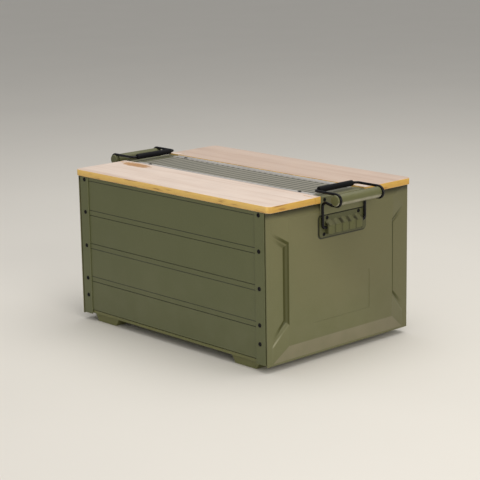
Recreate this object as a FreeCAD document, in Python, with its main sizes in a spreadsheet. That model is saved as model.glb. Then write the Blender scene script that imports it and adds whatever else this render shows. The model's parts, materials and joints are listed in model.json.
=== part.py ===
import FreeCAD, Part
import math
import os
import re

import Sketcher
from FreeCAD import Placement, Rotation, Vector

# Collapsible storage box, in millimetres, +Z up. The origin is on the ground under the middle.
# X runs along the long sides, and the front long side faces -Y.

SIZES = {
    # Plan
    "body_length": 530,
    "body_depth": 370,
    "lid_end_overhang": 9,
    "lid_side_overhang": 1,
    # Sheet thicknesses
    "end_sheet": 2,
    "post_sheet": 2,
    "slat_sheet": 1.5,
    "tray_sheet": 1.8,
    # Gaps between pieces
    "fit_gap": 0.05,
    "lid_gap": 0.3,
    "side_head_gap": 0.5,
    "side_gap": 0.9,
    "tray_gap": 0.6,
    "seam_gap": 0.8,
    "knuckle_gap": 0.5,
    # Base tray and feet
    "foot_height": 16,
    "foot_length": 54,
    "foot_slant": 11,
    "foot_depth": 26,
    "foot_inset": 8,
    "foot_end_inset": 27,
    "foot_wall": 2.2,
    "foot_screw_spacing": 26,
    "foot_screw_length": 9,
    "tray_height": 6,
    "tray_rim": 40,
    "tray_flange": 42,
    # Slats of a long side, counted from the top
    "slat_rise": 1,
    "slat_one": 74.4,
    "slat_two": 56.1,
    "slat_three": 75.8,
    "slat_four": 58,
    "slat_band": 9.6,
    "groove_width": 1.4,
    "groove_depth": 0.6,
    "lip_root": 3,
    "side_depth": 13,
    # Corner posts
    "post_width": 24,
    "post_drop": 8,
    "post_web_start": 47,
    "post_screw_inset": 13.8,
    # Fold hinge of a long side
    "hinge_inset": 7.5,
    "front_hinge_rise": 9.5,
    "back_hinge_rise": 26.5,
    "hinge_rod_radius": 1.5,
    "hinge_lug_radius": 3.2,
    "hinge_lug_length": 14,
    "hinge_knuckle_length": 12,
    "hinge_end_inset": 70.3,
    "hinge_leaf_height": 17,
    "hinge_leaf_gap": 1.3,
    # End panel stamping
    "panel_drop": 4,
    "panel_border": 12,
    "bevel_border": 3,
    "plateau_rise": 6,
    "plateau_inset": 48,
    "bevel_low": 32,
    "bevel_high": 15,
    "recess_low": 45,
    "recess_high": 51,
    "recess_low_run": 78,
    "recess_high_run": 50,
    "recess_draft": 6,
    "hollow_wall": 5,
    "hollow_draft": 4,
    "label_half": 73,
    "label_low": 61,
    "label_height": 74,
    "label_depth": 0.5,
    # Lid boards
    "board_thickness": 12.5,
    "board_corner": 10,
    "board_edge": 1.5,
    "notch_length": 30,
    "notch_depth": 14,
    "end_block_gap": 0.8,
    # Middle strip of the lid
    "strip_half": 42,
    "strip_end_gap": 1,
    "beam_wall": 4,
    "beam_ledge": 2.5,
    "beam_cover": 2,
    "rail_width": 9.5,
    "rail_sink": 1.8,
    "tread_sheet": 1.2,
    "tread_end": 24,
    "rib_pitch": 15.2,
    "rib_width": 7.6,
    "rib_height": 0.9,
    "rail_screw_inset": 60,
    # Hinge between rail and board
    "board_rod_radius": 1.2,
    "board_knuckle_radius": 2.4,
    "board_knuckle_length": 29.5,
    "board_leaf_sheet": 1.2,
    "board_leaf_height": 9,
    "board_hinge_sink": 2.8,
    "board_leaf_gap": 0.3,
    # Lid bracket
    "bracket_sheet": 1.6,
    "bracket_overlap": 5.8,
    "bracket_drop": 35,
    "bracket_screw_inset": 4.8,
    "bracket_screw_sink": 5.8,
    # Latch plate and block
    "plate_margin": 5,
    "plate_height": 38.8,
    "plate_sheet": 2,
    "plate_corner": 6,
    "plate_top_gap": 2.2,
    "plate_low_screw_inset": 11,
    "plate_low_screw_rise": 5.7,
    "plate_high_screw_inset": 19,
    "plate_high_screw_sink": 3.8,
    "block_inset": 9.5,
    "block_rise": 6.5,
    "block_height": 15.5,
    "block_depth": 7.5,
    "flute_radius": 16,
    "flute_out": 9.6,
    # Wire handle
    "wire_radius": 2.5,
    "wire_offset": 3.5,
    "pivot_rise": 18,
    "leg_out": 3,
    "leg_foot_bend": 6,
    "leg_head_bend": 8,
    "leg_head_rise": 4.5,
    "leg_head_run": 22,
    "leg_run_bend": 10,
    "stub_length": 14,
    "tube_out": 39.3,
    "tube_sink": 3,
    "tube_radius": 10,
    "tube_wall": 3.9,
    "tube_bend": 10.5,
    "tube_groove_gap": 0.2,
    "cap_flange": 2.7,
    "cap_spigot": 8,
    "crossbar_in": 16,
    "crossbar_bend": 8,
    "grip_inset": 11,
    "grip_radius": 5.5,
    # Screws
    "screw_radius": 2,
    "screw_hole_gap": 0.2,
    "screw_head_radius": 4,
    "slim_head_radius": 3.5,
    "screw_head_height": 1.8,
    "screw_length": 7,
    "flat_head_radius": 4,
    "flat_head_height": 1.3,
}

FOLD_SPOTS = (-1, 0, 1)
FLUTES = (-2, -1, 0, 1, 2)

# Places that follow from the sizes. Each is a distance from the middle plane or from the ground.
PLACES = {
    "end_face": "body_length / 2",
    "end_inner": "end_face - end_sheet",
    "flange_inner": "end_inner - tray_sheet",
    "side_end": "flange_inner - side_gap",
    "slat_end": "side_end - post_sheet",
    "post_face": "body_depth / 2",
    "slat_face": "post_face - post_sheet",
    "slat_back": "slat_face - slat_sheet",
    "lip_back": "slat_back - slat_sheet",
    "side_back": "post_face - side_depth",
    "tray_half": "slat_face - tray_gap",
    "foot_x": "end_face - foot_end_inset - foot_slant - foot_length / 2",
    "floor_top": "foot_height + tray_height",
    "four_low": "floor_top + slat_rise",
    "four_high": "four_low + slat_four",
    "three_low": "four_high + seam_gap",
    "three_high": "three_low + slat_three",
    "two_low": "three_high + seam_gap",
    "two_high": "two_low + slat_two",
    "one_low": "two_high + seam_gap",
    "side_top": "one_low + slat_one",
    "frame_top": "side_top + side_head_gap",
    "board_under": "frame_top + lid_gap",
    "lid_top": "board_under + board_thickness",
    "post_low": "floor_top - post_drop",
    "post_inner": "side_end - post_width",
    "post_screw_x": "side_end - post_screw_inset",
    "hinge_y": "post_face - hinge_inset",
    "hinge_pitch": "side_end - hinge_end_inset",
    "front_hinge_z": "floor_top + front_hinge_rise",
    "back_hinge_z": "floor_top + back_hinge_rise",
    "hinge_rod_end": "hinge_pitch + hinge_lug_length / 2 + hinge_knuckle_length + knuckle_gap * 2",
    "panel_low": "foot_height - panel_drop",
    "plateau_face": "end_face + plateau_rise",
    "plateau_half": "post_face - plateau_inset",
    "plateau_low": "panel_low + bevel_low",
    "plateau_high": "frame_top - bevel_high",
    "panel_side": "post_face - panel_border",
    "lid_end": "end_face + lid_end_overhang",
    "lid_front": "post_face + lid_side_overhang",
    "strip_end": "plateau_face - strip_end_gap",
    "rail_outer": "strip_half + rail_width",
    "board_hinge_y": "rail_outer + board_leaf_gap + board_knuckle_radius",
    "board_hinge_z": "lid_top - board_hinge_sink",
    "leaf_inner": "board_hinge_y + board_knuckle_radius + board_leaf_gap",
    "board_inner": "leaf_inner + board_leaf_sheet",
    "notch_x": "lid_end - notch_length",
    "notch_y": "board_inner + notch_depth",
    "knuckle_step": "board_knuckle_length + knuckle_gap",
    "ledge_top": "frame_top + beam_ledge",
    "rail_top": "lid_top - rail_sink",
    "beam_top": "rail_top - tread_sheet - rib_height",
    "tread_x": "strip_end - tread_end",
    "rail_screw_x": "strip_end - rail_screw_inset",
    "rail_screw_y": "strip_half + rail_width / 2",
    "bracket_half": "rail_outer + bracket_overlap",
    "bracket_screw_half": "rail_outer - bracket_screw_inset",
    "bracket_face": "plateau_face + bracket_sheet",
    "bracket_low": "lid_top - bracket_drop",
    "wire_half": "rail_outer + wire_offset",
    "plate_half": "wire_half + plate_margin",
    "plate_low_screw_half": "plate_half - plate_low_screw_inset",
    "plate_high_screw_half": "plate_half - plate_high_screw_inset",
    "block_half": "wire_half - block_inset",
    "grip_half": "wire_half - grip_inset",
    "plate_face": "plateau_face + plate_sheet",
    "plate_high": "bracket_low - plate_top_gap",
    "plate_low": "plate_high - plate_height",
    "block_low": "plate_low + block_rise",
    "block_shoulder": "block_low + block_height",
    "block_high": "block_shoulder + flute_out",
    "flute_axis": "plate_face + flute_out - flute_radius",
    "flute_pitch": f"block_half * 2 / {len(FLUTES)}",
    "pivot_z": "plate_low + pivot_rise",
    "leg_x": "plate_face + leg_out",
    "tube_x": "plateau_face + tube_out",
    "tube_z": "lid_top - tube_sink",
    "wire_low": "tube_z - tube_bend",
    "wire_high": "tube_z + tube_bend",
    "crossbar_x": "plateau_face - crossbar_in",
    "groove_start": "wire_half - wire_radius - tube_groove_gap",
    "groove_end": "wire_half + wire_radius + tube_groove_gap",
}

# Lengths below this are taken as nothing.
TINY = 1e-6

TURNS = {
    "X": Rotation(Vector(0, 1, 0), 90),
    "-X": Rotation(Vector(0, 1, 0), -90),
    "Y": Rotation(Vector(1, 0, 0), -90),
    "-Y": Rotation(Vector(1, 0, 0), 90),
    "Z": Rotation(),
    "-Z": Rotation(Vector(1, 0, 0), 180),
}
OPPOSITE = {"X": "-X", "-X": "X", "Y": "-Y", "-Y": "Y", "Z": "-Z", "-Z": "Z"}

doc = FreeCAD.newDocument("storage_box")
sheet = doc.addObject("Spreadsheet::Sheet", "Sizes")
for row, (alias, size) in enumerate(SIZES.items(), start=1):
    sheet.set(f"A{row}", str(size))
    sheet.setAlias(f"A{row}", alias)
doc.recompute()

nodes = []


def expand(text, prefix):
    """Write a formula of sizes and places in terms of the sheet's cells alone."""

    def cell(word):
        if word[0] in PLACES:
            return f"({expand(PLACES[word[0]], prefix)})"
        return prefix + word[0]

    return re.sub(r"[a-z][a-z_]*", cell, text)


def number(text):
    """The present value of a formula."""
    return float(sheet.evalExpression(expand(text, "")))


def bind(thing, formulas):
    """Tie properties of an object to formulas."""
    for name, text in formulas.items():
        thing.setExpression(name, expand(text, "Sizes."))


def node(thing, label):
    """Name an object as a sub-part of the box."""
    thing.Label = label
    nodes.append(thing)
    return thing


def place(thing, at):
    """Tie an object's position to three formulas."""
    bind(thing, {f"Placement.Base.{axis}": text for axis, text in zip("xyz", at)})


def block(name, low, high):
    """A box between two corners."""
    box = doc.addObject("Part::Box", name)
    spans = (f"({b}) - ({a})" for a, b in zip(low, high))
    bind(box, dict(zip(("Length", "Width", "Height"), spans)))
    place(box, low)
    return box


def rod(name, start, way, radius, length):
    """A cylinder from a point along one of the axes."""
    cylinder = doc.addObject("Part::Cylinder", name)
    cylinder.Placement = Placement(Vector(), TURNS[way])
    bind(cylinder, {"Radius": radius, "Height": length})
    place(cylinder, start)
    return cylinder


def fuse(name, parts):
    union = doc.addObject("Part::MultiFuse", name)
    union.Shapes = parts
    return union


def cut(name, base, tools):
    """What is left of base when the tools are taken out of it."""
    tool = tools[0]
    if len(tools) > 1:
        tool = group(f"{name}_tools", tools)
    rest = doc.addObject("Part::Cut", name)
    rest.Base = base
    rest.Tool = tool
    return rest


def group(name, parts):
    """Separate solids kept together in one object."""
    compound = doc.addObject("Part::Compound", name)
    compound.Links = parts
    return compound


def mirrored(name, source, normal):
    """The mirror image across the middle plane square to normal."""
    image = doc.addObject("Part::Mirroring", name)
    image.Source = source
    image.Base = Vector()
    image.Normal = normal
    return image


def datum(body, role):
    """The plane or axis of a body's origin that has the given role."""
    return next(feature for feature in body.Origin.OriginFeatures if feature.Role == role)


def outline(body, name, role, points, offset):
    """A closed sketch through points, each tied to its two formulas."""
    sketch = body.newObject("Sketcher::SketchObject", name)
    sketch.AttachmentSupport = [(datum(body, role), "")]
    sketch.MapMode = "FlatFace"
    bind(sketch, {"AttachmentOffset.Base.z": offset})
    spots = [(number(u), number(v)) for u, v in points]
    count = len(spots)
    for i, spot in enumerate(spots):
        ends = Vector(*spot, 0), Vector(*spots[(i + 1) % count], 0)
        sketch.addGeometry(Part.LineSegment(*ends), False)
    for i in range(count):
        sketch.addConstraint(Sketcher.Constraint("Coincident", i, 2, (i + 1) % count, 1))
    for i, (formulas, spot) in enumerate(zip(points, spots)):
        for kind, axis, text, value in zip(("DistanceX", "DistanceY"), (-2, -1), formulas, spot):
            if text == "0":
                sketch.addConstraint(Sketcher.Constraint("PointOnObject", i, 1, axis))
                continue
            index = sketch.addConstraint(Sketcher.Constraint(kind, -1, 1, i, 1, value))
            bind(sketch, {f"Constraints[{index}]": text})
    return sketch


def rectangle(low, high):
    """The four corners of a rectangle, anticlockwise."""
    return [low, (high[0], low[1]), high, (low[0], high[1])]


def padded(name, role, points, offset, length):
    """A new body with one padded outline."""
    body = doc.addObject("PartDesign::Body", name)
    pad = body.newObject("PartDesign::Pad", f"{name}_pad")
    pad.Profile = outline(body, f"{name}_outline", role, points, offset)
    bind(pad, {"Length": length})
    return body


def lofted(body, kind, name, role, sections):
    """Add or take away the space between two outlines of a body."""
    loft = body.newObject(f"PartDesign::{kind}", name)
    sketches = [
        outline(body, f"{name}_{i}", role, points, offset)
        for i, (points, offset) in enumerate(sections)
    ]
    loft.Profile = sketches[0]
    loft.Sections = sketches[1:]
    loft.Ruled = True
    body.Tip = loft
    return loft


def rounded(body, name, radius, chosen):
    """Round the edges of a body that chosen accepts."""
    doc.recompute()
    base = body.Tip
    names = [f"Edge{i}" for i, edge in enumerate(base.Shape.Edges, start=1) if chosen(edge)]
    fillet = body.newObject("PartDesign::Fillet", name)
    fillet.Base = (base, names)
    bind(fillet, {"Radius": radius})
    body.Tip = fillet


def runs_along(edge, axis):
    """Whether an edge is a straight one along a unit vector."""
    if len(edge.Vertexes) < 2:
        return False
    span = edge.Vertexes[-1].Point - edge.Vertexes[0].Point
    return span.Length > 0 and abs(abs(span.normalize() * axis) - 1) < TINY


def lies_flat(edge):
    """Whether all of an edge is at one height."""
    heights = [edge.valueAt(at).z for at in edge.ParameterRange]
    heights.append(edge.CenterOfMass.z)
    return max(heights) - min(heights) < TINY


PAN_HEAD = ("screw_head_radius", "screw_head_height")
SLIM_HEAD = ("slim_head_radius", "screw_head_height")
FLAT_HEAD = ("flat_head_radius", "flat_head_height")


def screw(name, seat, way, head=PAN_HEAD, length="screw_length"):
    """A screw whose head sits on seat and points along way."""
    cap = rod(f"{name}_head", seat, way, *head)
    shank = rod(f"{name}_shank", seat, OPPOSITE[way], "screw_radius", length)
    return fuse(name, [cap, shank])


def screw_hole(name, seat, way, length="screw_length"):
    """The clearance hole for a screw, from its seat inwards."""
    return rod(name, seat, OPPOSITE[way], "screw_radius + screw_hole_gap", f"{length} + fit_gap")


def screw_holes(name, seats, way):
    """The clearance holes for screws of the common length."""
    return [screw_hole(f"{name}_{i}", seat, way) for i, seat in enumerate(seats)]


FLIP_X = Vector(1, 0, 0)
FLIP_Y = Vector(0, 1, 0)


# Base tray with end flanges, and on it the lugs that carry the fold hinges


def hinge_spots():
    """Name and middle of each hinge lug along a long side."""
    return [(f"spot_{i}", f"hinge_pitch * {i}") for i in FOLD_SPOTS]


def fold_bore(name, hinge_y, hinge_z):
    """The long bore through the lugs and knuckles of a fold hinge."""
    start = ("0 - hinge_rod_end", hinge_y, hinge_z)
    return rod(name, start, "X", "hinge_rod_radius + fit_gap", "hinge_rod_end * 2")


def fold_lugs(side, hinge_y):
    """The lugs of one fold hinge, each a stem on the tray's floor with a round eye."""
    hinge_z = f"{side}_hinge_z"
    bore = fold_bore(f"{side}_lug_bore", hinge_y, hinge_z)
    lugs = []
    for spot, middle in hinge_spots():
        name = f"{side}_{spot}"
        low, high = f"{middle} - hinge_lug_length / 2", f"{middle} + hinge_lug_length / 2"
        stem = block(
            f"{name}_stem",
            (low, f"{hinge_y} - hinge_lug_radius", "floor_top"),
            (high, f"{hinge_y} + hinge_lug_radius", hinge_z),
        )
        start = (low, hinge_y, hinge_z)
        eye = rod(f"{name}_eye", start, "X", "hinge_lug_radius", "hinge_lug_length")
        lugs.append(cut(f"{name}_lug", fuse(f"{name}_whole", [stem, eye]), [bore]))
    node(group(f"{side}_lug_row", lugs), f"{side}_fold_lugs")


def foot_screw_seats():
    """Where the foot screws sit on the tray's floor, two for each foot."""
    seats = []
    for x in (-1, 1):
        for y in (-1, 1):
            for end in (-1, 1):
                along = f"foot_x * {x} + foot_screw_spacing / 2 * {end}"
                across = f"(post_face - foot_inset - foot_depth / 2) * {y}"
                seats.append((along, across, "floor_top"))
    return seats


def tray_screw_holes(name):
    """Clearance holes for all the foot screws."""
    holes = [
        screw_hole(f"{name}_screw_hole_{i}", seat, "Z", "foot_screw_length")
        for i, seat in enumerate(foot_screw_seats())
    ]
    return group(f"{name}_screw_holes", holes)


def base_tray():
    plan = rectangle(("0 - end_inner", "0 - tray_half"), ("end_inner", "tray_half"))
    floor = padded("tray_floor", "XY_Plane", plan, "foot_height", "tray_height")
    pocket = floor.newObject("PartDesign::Pocket", "tray_underside")
    inner = rectangle(
        ("tray_rim - end_inner", "tray_rim - tray_half"),
        ("end_inner - tray_rim", "tray_half - tray_rim"),
    )
    pocket.Profile = outline(floor, "tray_underside_outline", "XY_Plane", inner, "foot_height")
    pocket.Reversed = True
    bind(pocket, {"Length": "tray_height - tray_sheet"})
    flange = block(
        "tray_flange",
        ("flange_inner", "0 - tray_half", "foot_height"),
        ("end_inner", "tray_half", "foot_height + tray_flange"),
    )
    whole = fuse("tray_whole", [floor, flange, mirrored("tray_flange_left", flange, FLIP_X)])
    node(cut("tray", whole, [tray_screw_holes("tray")]), "base_tray")


def fold_rods():
    for side, hinge_y in (("front", "(0 - hinge_y)"), ("back", "hinge_y")):
        start = ("0 - hinge_rod_end", hinge_y, f"{side}_hinge_z")
        bar = rod(f"{side}_fold_bar", start, "X", "hinge_rod_radius", "hinge_rod_end * 2")
        node(bar, f"{side}_fold_rod")


# Feet: folded trapezoid boxes, open at the top, under the tray


def foot_profile(shrink, bottom, top):
    """The trapezoid of a foot, drawn in by shrink, between two heights."""
    low, high = "foot_length / 2", "foot_length / 2 + foot_slant"
    return [
        (f"foot_x - ({low}) + {shrink}", bottom),
        (f"foot_x + ({low}) - {shrink}", bottom),
        (f"foot_x + ({high}) - {shrink}", top),
        (f"foot_x - ({high}) + {shrink}", top),
    ]


def feet():
    """The front right foot, hollow and open towards the middle of the box, and its images."""
    inner_face = "post_face - foot_inset - foot_depth"
    outer = foot_profile("0", "0", "foot_height")
    shell = padded("foot_shell", "XZ_Plane", outer, inner_face, "foot_depth")
    pocket = shell.newObject("PartDesign::Pocket", "foot_hollow")
    hollow = foot_profile("foot_wall", "foot_wall", "foot_height - foot_wall")
    pocket.Profile = outline(shell, "foot_hollow_outline", "XZ_Plane", hollow, inner_face)
    pocket.Reversed = True
    bind(pocket, {"Length": "foot_depth - foot_wall"})
    first = node(cut("foot", shell, [tray_screw_holes("foot")]), "front_right_foot")
    left = node(mirrored("foot_left", first, FLIP_X), "front_left_foot")
    node(mirrored("foot_back_right", first, FLIP_Y), "back_right_foot")
    node(mirrored("foot_back_left", left, FLIP_Y), "back_left_foot")
    screws = [
        screw(f"foot_screw_{i}", seat, "Z", FLAT_HEAD, "foot_screw_length")
        for i, seat in enumerate(foot_screw_seats())
    ]
    node(group("foot_screw_set", screws), "foot_screws")


# End panels: stamped sheets with a raised middle, bevels and a sunk zone at each upright edge


def recess_outline(sign, spread):
    """The trapezoid of a sunk zone, spread out by its sloping wall."""
    inner = f"(plateau_half + recess_draft - {spread}) * {sign}"
    outer = f"(post_face + recess_draft * 2 - {spread}) * {sign}"
    low, high = "plateau_low + recess_low", "plateau_high - recess_high"
    return [
        (inner, f"{low} - {spread}"),
        (outer, f"{low} - recess_low_run - {spread}"),
        (outer, f"{high} + recess_high_run + {spread}"),
        (inner, f"{high} + {spread}"),
    ]


def end_panels():
    panel = padded(
        "end_stamping",
        "YZ_Plane",
        rectangle(("0 - post_face", "panel_low"), ("post_face", "frame_top")),
        "end_inner",
        "end_sheet",
    )
    foot = rectangle(
        ("0 - panel_side", "panel_low + bevel_border"), ("panel_side", "frame_top - bevel_border")
    )
    crown = rectangle(("0 - plateau_half", "plateau_low"), ("plateau_half", "plateau_high"))
    lofted(
        panel, "AdditiveLoft", "end_plateau", "YZ_Plane", [(foot, "end_face"), (crown, "plateau_face")]
    )
    for name, sign in (("near", "(0 - 1)"), ("far", "1")):
        floor = (recess_outline(sign, "0"), "end_face")
        mouth = (recess_outline(sign, "recess_draft"), "plateau_face")
        lofted(panel, "SubtractiveLoft", f"end_recess_{name}", "YZ_Plane", [floor, mouth])
    inset = "hollow_wall + hollow_draft"
    mouth = rectangle(
        ("hollow_wall - plateau_half", "plateau_low - hollow_draft"),
        ("plateau_half - hollow_wall", "plateau_high + hollow_draft - hollow_wall"),
    )
    back = rectangle(
        (f"{inset} - plateau_half", "plateau_low + hollow_wall"),
        (f"plateau_half - ({inset})", f"plateau_high - ({inset})"),
    )
    lofted(
        panel,
        "SubtractiveLoft",
        "end_hollow",
        "YZ_Plane",
        [(mouth, "end_inner"), (back, "plateau_face - end_sheet")],
    )
    label = panel.newObject("PartDesign::Pocket", "end_label")
    low = "panel_low + label_low"
    area = rectangle(("0 - label_half", low), ("label_half", f"{low} + label_height"))
    label.Profile = outline(panel, "end_label_outline", "YZ_Plane", area, "plateau_face")
    bind(label, {"Length": "label_depth"})
    node(panel, "right_end_panel")
    node(mirrored("end_stamping_left", panel, FLIP_X), "left_end_panel")


# Long sides: four slats and two posts held by screws, on a fold hinge


def post_screw_heights():
    """The five screw heights on a post, from the top down."""
    return (
        "side_top - slat_band / 2",
        "one_low + slat_band / 2",
        "three_high - slat_band / 2",
        "three_low + slat_band / 2",
        "(four_low + four_high) / 2",
    )


def post_screw_seats():
    seats = []
    for x in (-1, 1):
        for height in post_screw_heights():
            seats.append((f"post_screw_x * {x}", "0 - post_face", height))
    return seats


def groove(height):
    """Three points of a shallow groove across a slat's face."""
    return [
        ("0 - slat_face", f"{height} - groove_width / 2"),
        ("groove_depth - slat_face", height),
        ("0 - slat_face", f"{height} + groove_width / 2"),
    ]


def lip_above(high):
    """The lip that reaches up behind the slat above, from the face's upper edge inwards."""
    top = f"{high} + seam_gap + slat_band"
    return [
        ("0 - slat_face", high),
        ("0 - slat_back", high),
        ("0 - slat_back", top),
        ("0 - side_back", top),
        ("0 - side_back", f"{top} - slat_sheet"),
        ("0 - lip_back", f"{top} - slat_sheet"),
        ("0 - lip_back", f"{high} - lip_root"),
        ("0 - slat_back", f"{high} - lip_root"),
    ]


def lip_below(low):
    """The lip that reaches down behind the slat below, from the inside to the face."""
    bottom = f"{low} - seam_gap - slat_band"
    return [
        ("0 - slat_back", f"{low} + lip_root"),
        ("0 - lip_back", f"{low} + lip_root"),
        ("0 - lip_back", f"{bottom} + slat_sheet"),
        ("0 - side_back", f"{bottom} + slat_sheet"),
        ("0 - side_back", bottom),
        ("0 - slat_back", bottom),
        ("0 - slat_back", low),
        ("0 - slat_face", low),
    ]


def slat_profiles():
    """The section of each slat of the front side, seen along X."""
    one = [("0 - slat_face", "one_low")]
    one += groove("one_low + slat_band") + groove("side_top - slat_band * 2 / 3")
    one += [
        ("0 - slat_face", "side_top"),
        ("0 - side_back", "side_top"),
        ("0 - side_back", "side_top - slat_sheet"),
        ("0 - slat_back", "side_top - slat_sheet"),
        ("0 - slat_back", "one_low"),
    ]
    three = [("0 - slat_face", "three_low")]
    three += groove("three_low + slat_band") + groove("three_high - slat_band")
    three += [
        ("0 - slat_face", "three_high"),
        ("0 - slat_back", "three_high"),
        ("0 - slat_back", "three_low"),
    ]
    two = lip_above("two_high") + lip_below("two_low")
    four = lip_above("four_high") + [("0 - slat_back", "four_low"), ("0 - slat_face", "four_low")]
    return {"1": one, "2": two, "3": three, "4": four}


def corner_post(name, sign):
    """An angle that covers the slats' ends, on the side that sign gives."""
    outer, inner = f"side_end * {sign}", f"post_inner * {sign}"
    web = f"slat_end * {sign}"
    low, high = (inner, outer) if sign > 0 else (outer, inner)
    web_low, web_high = (web, outer) if sign > 0 else (outer, web)
    face = block(
        f"{name}_face", (low, "0 - post_face", "post_low"), (high, "0 - slat_face", "side_top")
    )
    back = block(
        f"{name}_web",
        (web_low, "0 - slat_face", "post_low + post_web_start"),
        (web_high, "0 - side_back", "side_top"),
    )
    return fuse(name, [face, back])


def long_sides():
    seats = post_screw_seats()
    holes = group("post_holes", screw_holes("post_hole", seats, "-Y"))
    pieces = {}
    for count, profile in slat_profiles().items():
        blank = padded(f"slat_{count}_blank", "YZ_Plane", profile, "0 - slat_end", "slat_end * 2")
        pieces[f"slat_{count}"] = cut(f"slat_{count}_cut", blank, [holes])
    for name, sign in (("right_post", 1), ("left_post", -1)):
        pieces[name] = cut(f"{name}_cut", corner_post(f"{name}_angle", sign), [holes])
    screws = [screw(f"post_screw_{i}", seat, "-Y") for i, seat in enumerate(seats)]
    pieces["post_screws"] = group("post_screw_set", screws)
    for name, piece in pieces.items():
        node(piece, f"front_{name}")
        node(mirrored(f"{name}_image", piece, FLIP_Y), f"back_{name}")
    node(fold_leaf("front", "front_hinge_z"), "front_fold_leaf")
    back = fold_leaf("back", "back_hinge_z")
    node(mirrored("back_leaf_image", back, FLIP_Y), "back_fold_leaf")


def fold_leaf(side, hinge_z):
    """The hinge leaf on the lowest slat, with a knuckle at each face of every lug."""
    low = f"{hinge_z} + hinge_lug_radius + hinge_leaf_gap"
    parts = [
        block(
            f"{side}_leaf_plate",
            ("0 - hinge_rod_end", "0 - slat_back", low),
            ("hinge_rod_end", "0 - lip_back", f"{low} + hinge_leaf_height"),
        )
    ]
    for spot, middle in hinge_spots():
        for end in (-1, 1):
            reach = "(hinge_lug_length / 2 + knuckle_gap)"
            start = f"{middle} + {reach}" if end > 0 else f"{middle} - {reach} - hinge_knuckle_length"
            name = f"{side}_{spot}_{'right' if end > 0 else 'left'}"
            parts.append(
                rod(
                    f"{name}_knuckle",
                    (start, "0 - hinge_y", hinge_z),
                    "X",
                    "hinge_lug_radius",
                    "hinge_knuckle_length",
                )
            )
            parts.append(
                block(
                    f"{name}_arm",
                    (start, "0 - slat_back", hinge_z),
                    (f"{start} + hinge_knuckle_length", "0 - hinge_y", f"{low} + slat_sheet"),
                )
            )
    bore = fold_bore(f"{side}_leaf_bore", "(0 - hinge_y)", hinge_z)
    return cut(f"{side}_leaf", fuse(f"{side}_leaf_whole", parts), [bore])


# Lid: beam, ribbed tread and rails in the middle, and a hinged board on each side


def rail_screw_seats():
    return [
        (f"rail_screw_x * {x}", f"rail_screw_y * {y}", "rail_top") for x in (-1, 1) for y in (-1, 1)
    ]


def bracket_screw_seats(sign):
    height = "rail_top - bracket_screw_sink"
    return [(f"bracket_face * {sign}", f"bracket_screw_half * {y}", height) for y in (-1, 1)]


def lid_beam():
    upper = "beam_top - beam_cover"
    points = [
        ("0 - rail_outer", "frame_top"),
        ("beam_wall - strip_half", "frame_top"),
        ("beam_wall - strip_half", upper),
        ("strip_half - beam_wall", upper),
        ("strip_half - beam_wall", "frame_top"),
        ("rail_outer", "frame_top"),
        ("rail_outer", "ledge_top"),
        ("strip_half", "ledge_top"),
        ("strip_half", "beam_top"),
        ("0 - strip_half", "beam_top"),
        ("0 - strip_half", "ledge_top"),
        ("0 - rail_outer", "ledge_top"),
    ]
    node(padded("beam", "YZ_Plane", points, "0 - strip_end", "strip_end * 2"), "lid_beam")


def lid_tread():
    """The ribbed sheet on the beam, with as many ribs as it has room for."""
    whole = rectangle(("0 - tread_x", "0 - strip_half"), ("tread_x", "strip_half"))
    plate = padded("tread", "XY_Plane", whole, "beam_top", "tread_sheet")
    steps = int(number("(tread_x * 2 - rib_width) / rib_pitch"))
    first = f"0 - rib_pitch * {steps} / 2"
    rib = plate.newObject("PartDesign::Pad", "tread_rib")
    rib.Profile = outline(
        plate,
        "tread_rib_outline",
        "XY_Plane",
        rectangle(
            (f"{first} - rib_width / 2", "0 - strip_half"), (f"{first} + rib_width / 2", "strip_half")
        ),
        "beam_top + tread_sheet",
    )
    bind(rib, {"Length": "rib_height"})
    row = plate.newObject("PartDesign::LinearPattern", "tread_ribs")
    row.Originals = [rib]
    row.Direction = (datum(plate, "X_Axis"), [""])
    row.Occurrences = steps + 1
    bind(row, {"Length": f"rib_pitch * {steps}"})
    plate.Tip = row
    node(plate, "lid_tread")


def half_knuckles():
    """How many knuckles of a board hinge fit on each side of the middle."""
    return int(number("notch_x / knuckle_step"))


def board_hinge_half():
    """Half the length of a board hinge."""
    return f"knuckle_step * {half_knuckles()}"


def knuckle_run(name, first, hinge_y, arm_low, arm_high):
    """Every second knuckle of a board hinge, each with its arm."""
    parts = []
    half = half_knuckles()
    for i in range(first, half * 2, 2):
        start = f"knuckle_step * {i - half} + knuckle_gap / 2"
        parts.append(
            rod(
                f"{name}_knuckle_{i}",
                (start, hinge_y, "board_hinge_z"),
                "X",
                "board_knuckle_radius",
                "board_knuckle_length",
            )
        )
        parts.append(
            block(
                f"{name}_arm_{i}",
                (start, arm_low, "board_hinge_z - board_knuckle_radius"),
                (f"{start} + board_knuckle_length", arm_high, "board_hinge_z"),
            )
        )
    return parts


def board_pin(name, hinge_y, radius):
    """A rod along the whole of a board hinge."""
    half = board_hinge_half()
    return rod(name, (f"0 - {half}", hinge_y, "board_hinge_z"), "X", radius, f"{half} * 2")


def board_bore(name, hinge_y):
    return board_pin(name, hinge_y, "board_rod_radius + fit_gap")


def rail_steps():
    """The room at both ends of the front rail that the lid brackets cover."""
    right = block(
        "rail_step_right",
        ("tread_x", "0 - rail_outer", "beam_top"),
        ("strip_end", "0 - strip_half", "rail_top"),
    )
    left = block(
        "rail_step_left",
        ("0 - strip_end", "0 - rail_outer", "beam_top"),
        ("0 - tread_x", "0 - strip_half", "rail_top"),
    )
    return [right, left]


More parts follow.
